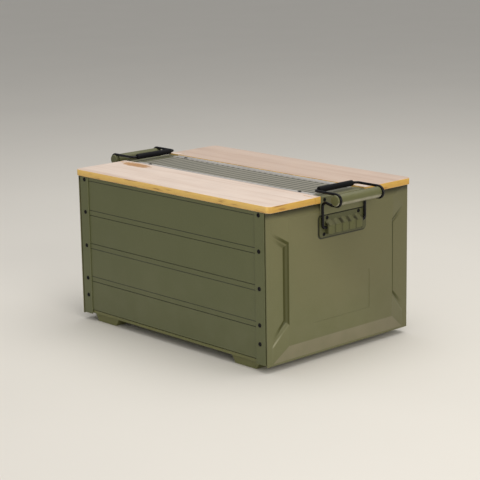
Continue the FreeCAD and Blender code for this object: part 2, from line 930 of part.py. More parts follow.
def rails():
    """The front rail with its knuckles and hinge rod, and their images at the back."""
    hinge_y = "(0 - board_hinge_y)"
    bar = block(
        "rail_bar",
        ("0 - strip_end", "0 - rail_outer", "ledge_top"),
        ("strip_end", "0 - strip_half", "rail_top"),
    )
    parts = [bar] + knuckle_run("rail", 0, hinge_y, hinge_y, "0 - rail_outer + board_leaf_gap")
    tools = [board_bore("rail_bore", hinge_y), *rail_steps()]
    seats = rail_screw_seats()
    tools += screw_holes("rail_hole", seats, "Z")
    tools += screw_holes("rail_right_hole", bracket_screw_seats(1), "X")
    tools += screw_holes("rail_left_hole", bracket_screw_seats(-1), "-X")
    front = node(cut("rail", fuse("rail_whole", parts), tools), "front_rail")
    node(mirrored("rail_image", front, FLIP_Y), "back_rail")
    pin = node(board_pin("board_pin", hinge_y, "board_rod_radius"), "front_board_rod")
    node(mirrored("board_pin_image", pin, FLIP_Y), "back_board_rod")
    screws = [screw(f"rail_screw_{i}", seat, "Z", FLAT_HEAD) for i, seat in enumerate(seats)]
    node(group("rail_screw_set", screws), "rail_screws")


def boards():
    """The front board and its hinge leaf, and their images at the back."""
    points = [
        ("0 - lid_end", "0 - lid_front"),
        ("lid_end", "0 - lid_front"),
        ("lid_end", "0 - notch_y"),
        ("notch_x", "0 - notch_y"),
        ("notch_x", "0 - board_inner"),
        ("0 - notch_x", "0 - board_inner"),
        ("0 - notch_x", "0 - notch_y"),
        ("0 - lid_end", "0 - notch_y"),
    ]
    board = padded("board_blank", "XY_Plane", points, "board_under", "board_thickness")
    front = number("0 - lid_front")
    rounded(
        board,
        "board_corners",
        "board_corner",
        lambda edge: runs_along(edge, Vector(0, 0, 1)) and abs(edge.CenterOfMass.y - front) < TINY,
    )
    inner = number("0 - board_inner")
    rounded(
        board,
        "board_edges",
        "board_edge",
        lambda edge: lies_flat(edge) and abs(edge.CenterOfMass.y - inner) > TINY,
    )
    node(board, "front_board")
    node(mirrored("board_image", board, FLIP_Y), "back_board")
    hinge_y = "(0 - board_hinge_y)"
    plate = block(
        "board_leaf_plate",
        (f"0 - {board_hinge_half()}", "0 - board_inner", "board_hinge_z - board_leaf_height"),
        (board_hinge_half(), "0 - leaf_inner", "board_hinge_z"),
    )
    parts = [plate] + knuckle_run("leaf", 1, hinge_y, "0 - leaf_inner - board_leaf_sheet / 2", hinge_y)
    leaf = cut("board_leaf", fuse("board_leaf_whole", parts), [board_bore("leaf_bore", hinge_y)])
    node(leaf, "front_board_leaf")
    node(mirrored("board_leaf_image", leaf, FLIP_Y), "back_board_leaf")


def lid_end_blocks():
    """The fixed wooden blocks that fill the notches of the boards, a pair at each end."""
    seat = block(
        "end_block_seat",
        ("notch_x + end_block_gap", "end_block_gap - notch_y", "board_under"),
        ("strip_end", "0 - rail_outer", "beam_top"),
    )
    head = block(
        "end_block_head",
        ("notch_x + end_block_gap", "end_block_gap - notch_y", "beam_top"),
        ("strip_end", "0 - board_inner - lid_gap", "lid_top"),
    )
    nose = block(
        "end_block_nose",
        ("strip_end", "end_block_gap - notch_y", "board_under"),
        ("lid_end", "0 - bracket_half - end_block_gap", "lid_top"),
    )
    near = fuse("end_block_near", [seat, head, nose])
    pair = group("end_block_pair", [near, mirrored("end_block_far", near, FLIP_Y)])
    node(pair, "right_lid_blocks")
    node(mirrored("end_block_image", pair, FLIP_X), "left_lid_blocks")


def lid_brackets():
    """The angle at the lid's right end, over the rails' ends and the end panel, and its image."""
    half = "(rail_outer - board_leaf_gap)"
    top = block(
        "bracket_top",
        ("tread_x + lid_gap", f"0 - {half}", "beam_top"),
        ("bracket_face", half, "beam_top + bracket_sheet"),
    )
    wings = block(
        "bracket_wings",
        ("tread_x + lid_gap", "0 - board_inner", "beam_top"),
        ("strip_end", "board_inner", "beam_top + bracket_sheet"),
    )
    flange = block(
        "bracket_flange",
        ("plateau_face", "0 - bracket_half", "bracket_low"),
        ("bracket_face", "bracket_half", "beam_top + bracket_sheet"),
    )
    seats = bracket_screw_seats(1)
    holes = screw_holes("bracket_hole", seats, "X")
    right = node(cut("bracket", fuse("bracket_whole", [top, wings, flange]), holes), "right_lid_bracket")
    node(mirrored("bracket_image", right, FLIP_X), "left_lid_bracket")
    screws = [screw(f"bracket_screw_{i}", seat, "X", SLIM_HEAD) for i, seat in enumerate(seats)]
    pair = node(group("bracket_screw_set", screws), "right_bracket_screws")
    node(mirrored("bracket_screw_image", pair, FLIP_X), "left_bracket_screws")


# Latches: a plate and a fluted block on each end panel, which carry the wire handle


def plate_screw_seats():
    low, high = "plate_low + plate_low_screw_rise", "plate_high - plate_high_screw_sink"
    seats = []
    for y in (-1, 1):
        seats.append(("plate_face", f"plate_low_screw_half * {y}", low))
        seats.append(("plate_face", f"plate_high_screw_half * {y}", high))
    return seats


def latch_plates():
    plate = padded(
        "plate_blank",
        "YZ_Plane",
        rectangle(("0 - plate_half", "plate_low"), ("plate_half", "plate_high")),
        "plateau_face",
        "plate_sheet",
    )
    rounded(plate, "plate_corners", "plate_corner", lambda edge: runs_along(edge, Vector(1, 0, 0)))
    seats = plate_screw_seats()
    right = node(cut("plate", plate, screw_holes("plate_hole", seats, "X")), "right_latch_plate")
    node(mirrored("plate_image", right, FLIP_X), "left_latch_plate")
    screws = [
        screw(f"plate_screw_{i}", seat, "X", SLIM_HEAD, "plate_sheet") for i, seat in enumerate(seats)
    ]
    right_screws = node(group("plate_screw_set", screws), "right_latch_screws")
    node(mirrored("plate_screw_image", right_screws, FLIP_X), "left_latch_screws")


def latch_blocks():
    """A fluted block with a sloping top, bored at both ends for the stubs of the handle."""
    section = [
        ("plate_face", "block_low"),
        ("plate_face + block_depth", "block_low"),
        ("plate_face + block_depth", "block_shoulder"),
        ("plate_face", "block_shoulder + block_depth"),
    ]
    parts = [padded("block_core", "XZ_Plane", section, "0 - block_half", "block_half * 2")]
    for i in FLUTES:
        spot = f"flute_pitch * {i}"
        column = doc.addObject("Part::Cylinder", f"flute_{i + len(FLUTES)}")
        bind(column, {"Radius": "flute_radius", "Height": "block_height"})
        place(column, ("flute_axis", spot, "block_low"))
        cap = doc.addObject("Part::Cone", f"flute_cap_{i + len(FLUTES)}")
        tip = "flute_radius - flute_out"
        bind(cap, {"Radius1": "flute_radius", "Radius2": tip, "Height": "flute_out"})
        place(cap, ("flute_axis", spot, "block_shoulder"))
        parts += [column, cap]
    behind = block(
        "block_behind",
        ("plate_face - flute_radius * 2", "0 - plate_half - flute_radius", "block_low - flute_radius"),
        ("plate_face", "plate_half + flute_radius", "block_high + flute_radius"),
    )
    beside = block(
        "block_beside",
        ("plate_face - flute_radius", "block_half", "block_low - flute_radius"),
        ("plate_face + flute_radius", "block_half + flute_radius * 2", "block_high + flute_radius"),
    )
    bore = rod(
        "block_bore",
        ("leg_x", "wire_half - stub_length - fit_gap", "pivot_z"),
        "Y",
        "wire_radius + fit_gap",
        "stub_length + wire_radius",
    )
    tools = [behind]
    for tool in (beside, bore):
        tools += [tool, mirrored(f"{tool.Label}_near", tool, FLIP_Y)]
    right = node(cut("block", fuse("block_whole", parts), tools), "right_latch_block")
    node(mirrored("block_image", right, FLIP_X), "left_latch_block")


# Wire handles: bent wire, carrying tube with end caps, rubber grip


def bent_path(corners, bends):
    """Straight runs through corners, joined by tangent arcs of the given radii."""
    edges = []
    here = corners[0]
    for before, corner, after, bend in zip(corners, corners[1:], corners[2:], bends):
        back = (before - corner).normalize()
        ahead = (after - corner).normalize()
        half = back.getAngle(ahead) / 2
        reach = bend / math.tan(half)
        start, end = corner + back * reach, corner + ahead * reach
        bisector = (back + ahead).normalize()
        middle = corner + bisector * (bend / math.sin(half) - bend)
        if (start - here).Length > TINY:
            edges.append(Part.LineSegment(here, start).toShape())
        edges.append(Part.Arc(start, middle, end).toShape())
        here = end
    edges.append(Part.LineSegment(here, corners[-1]).toShape())
    return Part.Wire(edges)


def handle_wire():
    """One wire from the stub in one end of the block, round the tube and the lid, to the other stub."""
    half = [
        ("leg_x", "wire_half - stub_length", "pivot_z"),
        ("leg_x", "wire_half", "pivot_z"),
        ("leg_x", "wire_half", "wire_low + leg_head_rise"),
        ("leg_x + leg_head_run", "wire_half", "wire_low"),
        ("tube_x + tube_bend", "wire_half", "wire_low"),
        ("tube_x + tube_bend", "wire_half", "wire_high"),
        ("crossbar_x", "wire_half", "wire_high"),
    ]
    far = [Vector(*(number(text) for text in corner)) for corner in half]
    near = [Vector(spot.x, -spot.y, spot.z) for spot in reversed(far)]
    bends = ["leg_foot_bend", "leg_head_bend", "leg_run_bend", "tube_bend", "tube_bend", "crossbar_bend"]
    radii = [number(text) for text in bends]
    path = bent_path(far + near, radii + radii[::-1])
    ring = Part.Circle(far[0], Vector(0, 1, 0), number("wire_radius")).toShape()
    wire = doc.addObject("Part::Feature", "wire")
    wire.Shape = path.makePipeShell([Part.Wire([ring])], True, False)
    return wire


def handles():
    wire = handle_wire()
    half = "groove_start"
    axis = ("tube_x", "0 - groove_start", "tube_z")
    sleeve = rod("tube_sleeve", axis, "Y", "tube_radius", f"{half} * 2")
    bore = rod("tube_bore", axis, "Y", "tube_radius - tube_wall", f"{half} * 2")
    tube = cut("tube", sleeve, [bore])
    far_cap = fuse(
        "cap_far",
        [
            rod(
                "cap_spigot_far",
                ("tube_x", "groove_start - cap_spigot", "tube_z"),
                "Y",
                "tube_radius - tube_wall - fit_gap",
                "cap_spigot",
            ),
            rod(
                "cap_neck_far",
                ("tube_x", "groove_start", "tube_z"),
                "Y",
                "tube_bend - wire_radius - tube_groove_gap",
                "groove_end - groove_start",
            ),
            rod("cap_flange_far", ("tube_x", "groove_end", "tube_z"), "Y", "tube_radius", "cap_flange"),
        ],
    )
    caps = group("cap_pair", [far_cap, mirrored("cap_near", far_cap, FLIP_Y)])
    bar_start = ("crossbar_x", "0 - grip_half", "wire_high")
    grip = cut(
        "grip",
        rod("grip_sleeve", bar_start, "Y", "grip_radius", "grip_half * 2"),
        [rod("grip_bore", bar_start, "Y", "wire_radius + fit_gap", "grip_half * 2")],
    )
    for name, piece in (("wire", wire), ("tube", tube), ("tube_caps", caps), ("grip", grip)):
        node(piece, f"right_handle_{name}")
        node(mirrored(f"{name}_image", piece, FLIP_X), f"left_handle_{name}")


def write_parts():
    """Check every object, then write each sub-part to its file."""
    doc.recompute()
    for thing in doc.Objects:
        if "Invalid" in thing.State or "Error" in thing.State:
            raise RuntimeError(f"{thing.Label} failed: {thing.State}")
    for thing in nodes:
        if thing.Shape.isNull() or not thing.Shape.isValid():
            raise RuntimeError(f"{thing.Label} has no valid shape")
    os.makedirs("parts", exist_ok=True)
    for thing in nodes:
        thing.Shape.exportStep(f"parts/{thing.Label}.step")
        print(f"{thing.Label}: {len(thing.Shape.Solids)} solids, {thing.Shape.Volume / 1000:.2f} cm3")


base_tray()
fold_lugs("front", "(0 - hinge_y)")
fold_lugs("back", "hinge_y")
fold_rods()
feet()
end_panels()
long_sides()
lid_beam()
lid_tread()
rails()
boards()
lid_end_blocks()
lid_brackets()
latch_plates()
latch_blocks()
handles()
write_parts()
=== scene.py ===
"""Looks of a collapsible storage box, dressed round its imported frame.

Sizes are in metres, in the frame's own axes: X runs along the long sides, the front side faces -Y and Z
is up.
"""

import json
import logging
import math
from collections.abc import Sequence
from dataclasses import dataclass, field
from enum import Enum
from functools import reduce

import bmesh
import bpy
from mathutils import Matrix, Vector

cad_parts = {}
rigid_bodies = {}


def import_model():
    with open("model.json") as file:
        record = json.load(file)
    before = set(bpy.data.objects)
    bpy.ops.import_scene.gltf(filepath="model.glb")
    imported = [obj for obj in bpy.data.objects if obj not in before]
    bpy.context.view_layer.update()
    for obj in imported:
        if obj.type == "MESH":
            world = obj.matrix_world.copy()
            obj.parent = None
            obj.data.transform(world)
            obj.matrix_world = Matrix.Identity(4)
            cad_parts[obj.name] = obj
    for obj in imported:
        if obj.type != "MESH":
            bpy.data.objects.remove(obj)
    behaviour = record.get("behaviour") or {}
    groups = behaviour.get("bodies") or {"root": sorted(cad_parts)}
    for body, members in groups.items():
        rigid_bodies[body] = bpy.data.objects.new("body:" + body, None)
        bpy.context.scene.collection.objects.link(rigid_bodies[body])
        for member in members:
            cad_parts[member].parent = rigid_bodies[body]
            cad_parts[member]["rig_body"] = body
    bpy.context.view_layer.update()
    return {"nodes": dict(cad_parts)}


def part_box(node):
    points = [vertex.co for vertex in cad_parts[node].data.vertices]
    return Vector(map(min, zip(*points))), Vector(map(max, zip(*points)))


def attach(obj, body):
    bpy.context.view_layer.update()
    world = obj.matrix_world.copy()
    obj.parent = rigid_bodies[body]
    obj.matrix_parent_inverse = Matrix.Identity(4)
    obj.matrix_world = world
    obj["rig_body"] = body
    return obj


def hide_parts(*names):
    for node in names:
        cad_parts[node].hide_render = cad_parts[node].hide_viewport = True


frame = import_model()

log = logging.getLogger("storage_box")

MM = 0.001
MERGE_DISTANCE = 1e-6
FLAT_ANGLE = math.radians(0.6)
SHARP_ANGLE = math.radians(33)
SLANTED = 0.97
# Dark colour of painted shade: creases, seams, under the lid, round the latch plate, back and top of the
# ends.
PAINTED_SHADE_COLOUR = (0.012, 0.013, 0.007)
DUST_COLOUR = (0.40, 0.36, 0.28)
COAT_RELIEF = 0.15 * MM
RIB_PITCH = 15.2 * MM

Colour = tuple[float, float, float]
Profile = Sequence[tuple[float, float]]
Node = bpy.types.Node
Socket = bpy.types.NodeSocket
Tree = bpy.types.NodeTree
Feed = float | int | str | Sequence[float] | bpy.types.ID | Socket


class Facing(Enum):
    """The way that a fastener's head points."""

    RIGHT = (1.0, 0.0, 0.0)
    LEFT = (-1.0, 0.0, 0.0)
    FRONT = (0.0, -1.0, 0.0)
    BACK = (0.0, 1.0, 0.0)
    UP = (0.0, 0.0, 1.0)

    def vector(self) -> Vector:
        """The unit vector of this way."""
        return Vector(self.value)


class Which(Enum):
    """One of two alike parts of the box, named by the way that it looks."""

    def word(self) -> str:
        """The name as the nodes spell it."""
        return self.name.lower()

    def facing(self) -> Facing:
        """The way that the part looks."""
        return Facing[self.name]


class End(Which):
    """The two ends of the box, with the sign of their X."""

    RIGHT = 1
    LEFT = -1


class Side(Which):
    """The two long sides of the box, with the sign of their Y."""

    FRONT = -1
    BACK = 1


class Slot(Enum):
    """The record's material slots, named for each new piece."""

    OLIVE = "olive_coat"
    FEET = "olive_feet"
    TUBE = "olive_tube"
    BAMBOO = "bamboo"
    RAIL = "bright_rail"
    TREAD = "ribbed_tread"
    SCREWS = "black_screws"
    WIRE = "black_wire"
    RUBBER = "grip_rubber"


# Node trees


@dataclass
class Graph:
    """A node tree, with short ways to add nodes and join them."""

    tree: Tree

    def feed(self, socket: Socket, value: Feed) -> None:
        """Join a socket to another, or set its value.

        Args:
            socket: The input to fill.
            value: An output socket, or a plain value.
        """
        if isinstance(value, Socket):
            self.tree.links.new(value, socket)
        else:
            socket.default_value = value

    def add(self, kind: str, inputs: dict[str | int, Feed] | None = None, **settings: object) -> Node:
        """Add a node.

        Args:
            kind: Blender's name of the node's type.
            inputs: What goes into its sockets, by name or number.
            **settings: Properties of the node itself.

        Returns:
            The new node.
        """
        node = self.tree.nodes.new(kind)
        for name, value in settings.items():
            setattr(node, name, value)
        for name, value in (inputs or {}).items():
            self.feed(node.inputs[name], value)
        return node

    def math(self, operation: str, *values: Feed) -> Socket:
        """The result of one arithmetic step.

        Args:
            operation: The Math node's operation.
            *values: Its one, two or three terms.

        Returns:
            The output socket.
        """
        return self.add("ShaderNodeMath", dict(enumerate(values)), operation=operation).outputs[0]

    def plus(self, first: Feed, second: Feed) -> Socket:
        """The sum of two numbers."""
        return self.math("ADD", first, second)

    def minus(self, first: Feed, second: Feed) -> Socket:
        """The first number less the second."""
        return self.math("SUBTRACT", first, second)

    def times(self, first: Feed, second: Feed) -> Socket:
        """The product of two numbers."""
        return self.math("MULTIPLY", first, second)

    def ratio(self, first: Feed, second: Feed) -> Socket:
        """The first number divided by the second."""
        return self.math("DIVIDE", first, second)

    def least(self, first: Feed, second: Feed) -> Socket:
        """The smaller of two numbers."""
        return self.math("MINIMUM", first, second)

    def most(self, first: Feed, second: Feed) -> Socket:
        """The larger of two numbers."""
        return self.math("MAXIMUM", first, second)

    def size(self, value: Feed) -> Socket:
        """A number without its sign."""
        return self.math("ABSOLUTE", value)

    def total(self, *shares: tuple[Socket, float]) -> Socket:
        """The sum of several numbers, each times its own share."""
        return reduce(self.plus, [self.times(value, share) for value, share in shares])

    def distance(self, first: Feed, second: Feed) -> Socket:
        """How far a point at two coordinates is from their origin."""
        return self.math("SQRT", self.plus(self.times(first, first), self.times(second, second)))

    def combine(self, x: Feed, y: Feed, z: Feed) -> Socket:
        """A vector from three numbers."""
        return self.add("ShaderNodeCombineXYZ", {0: x, 1: y, 2: z}).outputs[0]

    def separate(self, vector: Socket) -> list[Socket]:
        """The three numbers of a vector."""
        return list(self.add("ShaderNodeSeparateXYZ", {0: vector}).outputs)

    def stretched(self, vector: Socket, scale: Sequence[float]) -> Socket:
        """A vector with each of its numbers multiplied."""
        return self.add("ShaderNodeVectorMath", {0: vector, 1: scale}, operation="MULTIPLY").outputs[0]

    def noise(self, vector: Socket, scale: Feed, detail: float = 2.0) -> Socket:
        """Smooth noise from 0 to 1 over a surface.

        Args:
            vector: The place on the surface.
            scale: Waves for each metre.
            detail: How many finer layers are added.

        Returns:
            The noise value.
        """
        inputs = {"Vector": vector, "Scale": scale, "Detail": detail}
        return self.add("ShaderNodeTexNoise", inputs).outputs[0]

    def fibres(self, vector: Socket, scale: Sequence[float], detail: float = 3.0) -> Socket:
        """Noise with its own count of waves for each metre along X, Y and Z."""
        return self.noise(self.stretched(vector, scale), 1.0, detail)

    def chance(self, dimensions: str, **spot: Feed) -> Socket:
        """A number from 0 to 1 that differs from spot to spot."""
        return self.add("ShaderNodeTexWhiteNoise", spot, noise_dimensions=dimensions).outputs["Value"]

    def wave(self, along: Socket, pitch: float) -> Socket:
        """A wave from -1 to 1, with its crests one pitch apart."""
        return self.math("COSINE", self.times(along, math.tau / pitch))

    def step(self, value: Feed, low: Feed, high: Feed, start: Feed = 0.0, end: Feed = 1.0) -> Socket:
        """A smooth change from start to end while value goes from low to high."""
        inputs = {0: value, 1: low, 2: high, 3: start, 4: end}
        return self.add("ShaderNodeMapRange", inputs, interpolation_type="SMOOTHSTEP").outputs[0]

    def mix(self, factor: Feed, first: Feed, second: Feed, blend: str = "MIX") -> Socket:
        """One colour laid over another.

        Args:
            factor: How much of the second colour shows.
            first: The colour below.
            second: The colour on top.
            blend: The Mix node's way of blending.

        Returns:
            The mixed colour.
        """
        node = self.add("ShaderNodeMix", {0: factor, 6: first, 7: second}, data_type="RGBA")
        node.blend_type = blend
        return node.outputs[2]

    def group(self, tree: Tree, inputs: dict[str | int, Feed]) -> Node:
        """Place a shader node group.

        Args:
            tree: The group.
            inputs: What goes into its named inputs.

        Returns:
            The group's node.
        """
        node = self.tree.nodes.new("ShaderNodeGroup")
        node.node_tree = tree
        for name, value in inputs.items():
            self.feed(node.inputs[name], value)
        return node


def opaque(colour: Colour) -> tuple[float, float, float, float]:
    """A colour with full alpha."""
    return (*colour, 1.0)


FLOAT = "NodeSocketFloat"
COLOUR = "NodeSocketColor"
VECTOR = "NodeSocketVector"
MATERIAL = "NodeSocketMaterial"
GEOMETRY = "NodeSocketGeometry"


def new_group(
    name: str, kind: str, inputs: dict[str, str], outputs: dict[str, str]
) -> tuple[Graph, Node, Node]:
    """Start a node group with named sockets.

    Args:
        name: The group's name.
        kind: The node tree's type.
        inputs: Names and types of its inputs.
        outputs: Names and types of its outputs.

    Returns:
        The graph, its input node and its output node.
    """
    tree = bpy.data.node_groups.new(name, kind)
    for direction, sockets in (("INPUT", inputs), ("OUTPUT", outputs)):
        for label, socket_type in sockets.items():
            tree.interface.new_socket(label, in_out=direction, socket_type=socket_type)
    graph = Graph(tree)
    return graph, graph.add("NodeGroupInput"), graph.add("NodeGroupOutput")


# Effects that several finishes share


@dataclass
class Effects:
    """The shader node groups, each built once."""

    coat: Tree = field(init=False)
    rubbed_rim: Tree = field(init=False)
    dust: Tree = field(init=False)
    drawn_metal: Tree = field(init=False)

    def __post_init__(self) -> None:
        """Build all the groups."""
        self.coat = self.build_coat()
        self.rubbed_rim = self.build_rubbed_rim()
        self.dust = self.build_dust()
        self.drawn_metal = self.build_drawn_metal()

    def build_coat(self) -> Tree:
        """Sprayed coat: slow clouds of tone, fine speckle and orange peel.

        Returns:
            The group, with Colour, Roughness and Height.
        """
        graph, take, give = new_group(
            "sprayed_coat",
            "ShaderNodeTree",
            {"Place": VECTOR, "Colour": COLOUR, "Cloud Colour": COLOUR, "Sheen": FLOAT, "Peel Scale": FLOAT},
            {"Colour": COLOUR, "Roughness": FLOAT, "Height": FLOAT},
        )
        place = take.outputs["Place"]
        clouds = graph.step(graph.noise(place, 5.0, 3.0), 0.35, 0.68)
        tone = graph.mix(clouds, take.outputs["Colour"], take.outputs["Cloud Colour"])
        speckle = graph.noise(place, 1500.0, 1.0)
        grain = graph.step(speckle, 0.25, 0.75, 0.93, 1.05)
        speckled = graph.mix(1.0, tone, graph.combine(grain, grain, grain), "MULTIPLY")
        graph.feed(give.inputs["Colour"], speckled)
        smears = graph.noise(place, 18.0, 4.0)
        rough = graph.plus(take.outputs["Sheen"], graph.times(smears, 0.12))
        graph.feed(give.inputs["Roughness"], rough)
        peel = graph.noise(place, take.outputs["Peel Scale"], 2.0)
        fine = graph.times(speckle, 0.35)
        graph.feed(give.inputs["Height"], graph.plus(peel, fine))
        return graph.tree

    def build_rubbed_rim(self) -> Tree:
        """Outer edges lighter, partly from wear and partly a painted highlight, and inner ones darkened with
        painted shade, broken up by noise.

        Returns:
            The group, with Colour.
        """
        graph, take, give = new_group(
            "rubbed_rim",
            "ShaderNodeTree",
            {"Place": VECTOR, "Colour": COLOUR, "Rub Colour": COLOUR, "Amount": FLOAT, "Dirt": FLOAT},
            {"Colour": COLOUR},
        )
        # rim: outward rounds, lighter from wear and from a painted highlight
        rim = graph.add("ShaderNodeAttribute", attribute_name="rim").outputs["Fac"]
        broken = graph.step(graph.noise(take.outputs["Place"], 45.0, 4.0), 0.36, 0.62, 0.25, 1.0)
        mask = graph.times(graph.times(rim, broken), take.outputs["Amount"])
        rubbed = graph.mix(mask, take.outputs["Colour"], take.outputs["Rub Colour"])
        # deep: inward rounds and seams, darkened with painted shade
        deep = graph.add("ShaderNodeAttribute", attribute_name="deep").outputs["Fac"]
        painted_shade = graph.times(deep, take.outputs["Dirt"])
        graph.feed(give.inputs["Colour"], graph.mix(painted_shade, rubbed, opaque(PAINTED_SHADE_COLOUR)))
        return graph.tree

    def build_dust(self) -> Tree:
        """A thin film of dust that gathers on what faces up and low on the sides.

        Returns:
            The group, with Colour and Mask.
        """
        graph, take, give = new_group(
            "settled_dust",
            "ShaderNodeTree",
            {"Place": VECTOR, "Normal": VECTOR, "Colour": COLOUR, "Dust Colour": COLOUR, "Amount": FLOAT},
            {"Colour": COLOUR, "Mask": FLOAT},
        )
        up = graph.step(graph.separate(take.outputs["Normal"])[2], 0.25, 0.95)
        low = graph.step(graph.separate(take.outputs["Place"])[2], 0.24, 0.02, 0.0, 0.55)
        patches = graph.step(graph.noise(take.outputs["Place"], 26.0, 5.0), 0.3, 0.75, 0.3, 1.0)
        mask = graph.times(graph.most(up, low), patches)
        mask = graph.times(mask, take.outputs["Amount"])
        dusty = graph.mix(mask, take.outputs["Colour"], take.outputs["Dust Colour"])
        graph.feed(give.inputs["Colour"], dusty)
        graph.feed(give.inputs["Mask"], mask)
        return graph.tree

    def build_drawn_metal(self) -> Tree:
        """Fine lines along X, as on drawn or brushed metal.

        Returns:
            The group, with Roughness and Height.
        """
        graph, take, give = new_group(
            "drawn_metal",
            "ShaderNodeTree",
            {"Place": VECTOR, "Sheen": FLOAT},
            {"Roughness": FLOAT, "Height": FLOAT},
        )
        lines = graph.fibres(take.outputs["Place"], (12.0, 1800.0, 1800.0), 2.0)
        rough = graph.plus(take.outputs["Sheen"], graph.times(lines, 0.16))
        graph.feed(give.inputs["Roughness"], rough)
        graph.feed(give.inputs["Height"], lines)
        return graph.tree


# Finishes


def start_material(name: str) -> tuple[bpy.types.Material, Graph, Node, Node]:
    """Start a material with a Principled shader.

    Args:
        name: The material's name.

    Returns:
        The material, its graph, the shader and the coordinate node.
    """
    material = bpy.data.materials.new(name)
    material.use_nodes = True
    graph = Graph(material.node_tree)
    shader = material.node_tree.nodes["Principled BSDF"]
    return material, graph, shader, graph.add("ShaderNodeTexCoord")


def bump(graph: Graph, shader: Node, height: Feed, strength: float, distance: float) -> None:
    """Give a shader relief from a height.

    Args:
        graph: The material's graph.
        shader: The Principled shader.
        height: The height's socket.
        strength: How much of the relief shows.
        distance: The relief's depth.
    """
    relief = graph.add("ShaderNodeBump", {"Height": height, "Strength": strength, "Distance": distance})
    graph.feed(shader.inputs["Normal"], relief.outputs["Normal"])


@dataclass(frozen=True)
class PowderCoat:
    """A sprayed and baked coat on sheet metal."""

    name: str
    colour: Colour
    cloud: Colour
    # Colour of outer edges: partly wear, partly a painted highlight.
    rub: Colour
    sheen: float = 0.42
    peel_scale: float = 420.0
    peel_strength: float = 0.22
    rub_amount: float = 0.55
    # Strength of the painted shade in creases and at seams.
    dirt_amount: float = 0.8
    dust_amount: float = 0.10
    dust_dulling: float = 0.5
    shine: float = 0.35

    def soiled(self, graph: Graph, at: Node, colour: Socket) -> Socket:
        """Painted light and shade laid on the coat. A plain coat has none.

        Args:
            graph: The material's graph.
            at: The coordinate node.
            colour: The coat's colour.

        Returns:
            The colour that shows.
        """
        return colour

    def material(self, effects: Effects) -> bpy.types.Material:
        """Build the material.

        Args:
            effects: The shared node groups.

        Returns:
            The finished material.
        """
        material, graph, shader, at = start_material(self.name)
        place = at.outputs["Object"]
        coat = graph.group(
            effects.coat,
            {
                "Place": place,
                "Colour": opaque(self.colour),
                "Cloud Colour": opaque(self.cloud),
                "Sheen": self.sheen,
                "Peel Scale": self.peel_scale,
            },
        )
        rubbed = graph.group(
            effects.rubbed_rim,
            {
                "Place": place,
                "Colour": coat.outputs["Colour"],
                "Rub Colour": opaque(self.rub),
                "Amount": self.rub_amount,
                "Dirt": self.dirt_amount,
            },
        )
        dusty = graph.group(
            effects.dust,
            {
                "Place": place,
                "Normal": at.outputs["Normal"],
                "Colour": rubbed.outputs["Colour"],
                "Dust Colour": opaque(DUST_COLOUR),
                "Amount": self.dust_amount,
            },
        )
        # Each finish's painted light and shade go over the coat here.
        graph.feed(shader.inputs["Base Color"], self.soiled(graph, at, dusty.outputs["Colour"]))
        shader.inputs["Specular IOR Level"].default_value = self.shine
        dulled = graph.times(dusty.outputs["Mask"], self.dust_dulling)
        graph.feed(shader.inputs["Roughness"], graph.plus(coat.outputs["Roughness"], dulled))
        bump(graph, shader, coat.outputs["Height"], self.peel_strength, COAT_RELIEF)
        return material


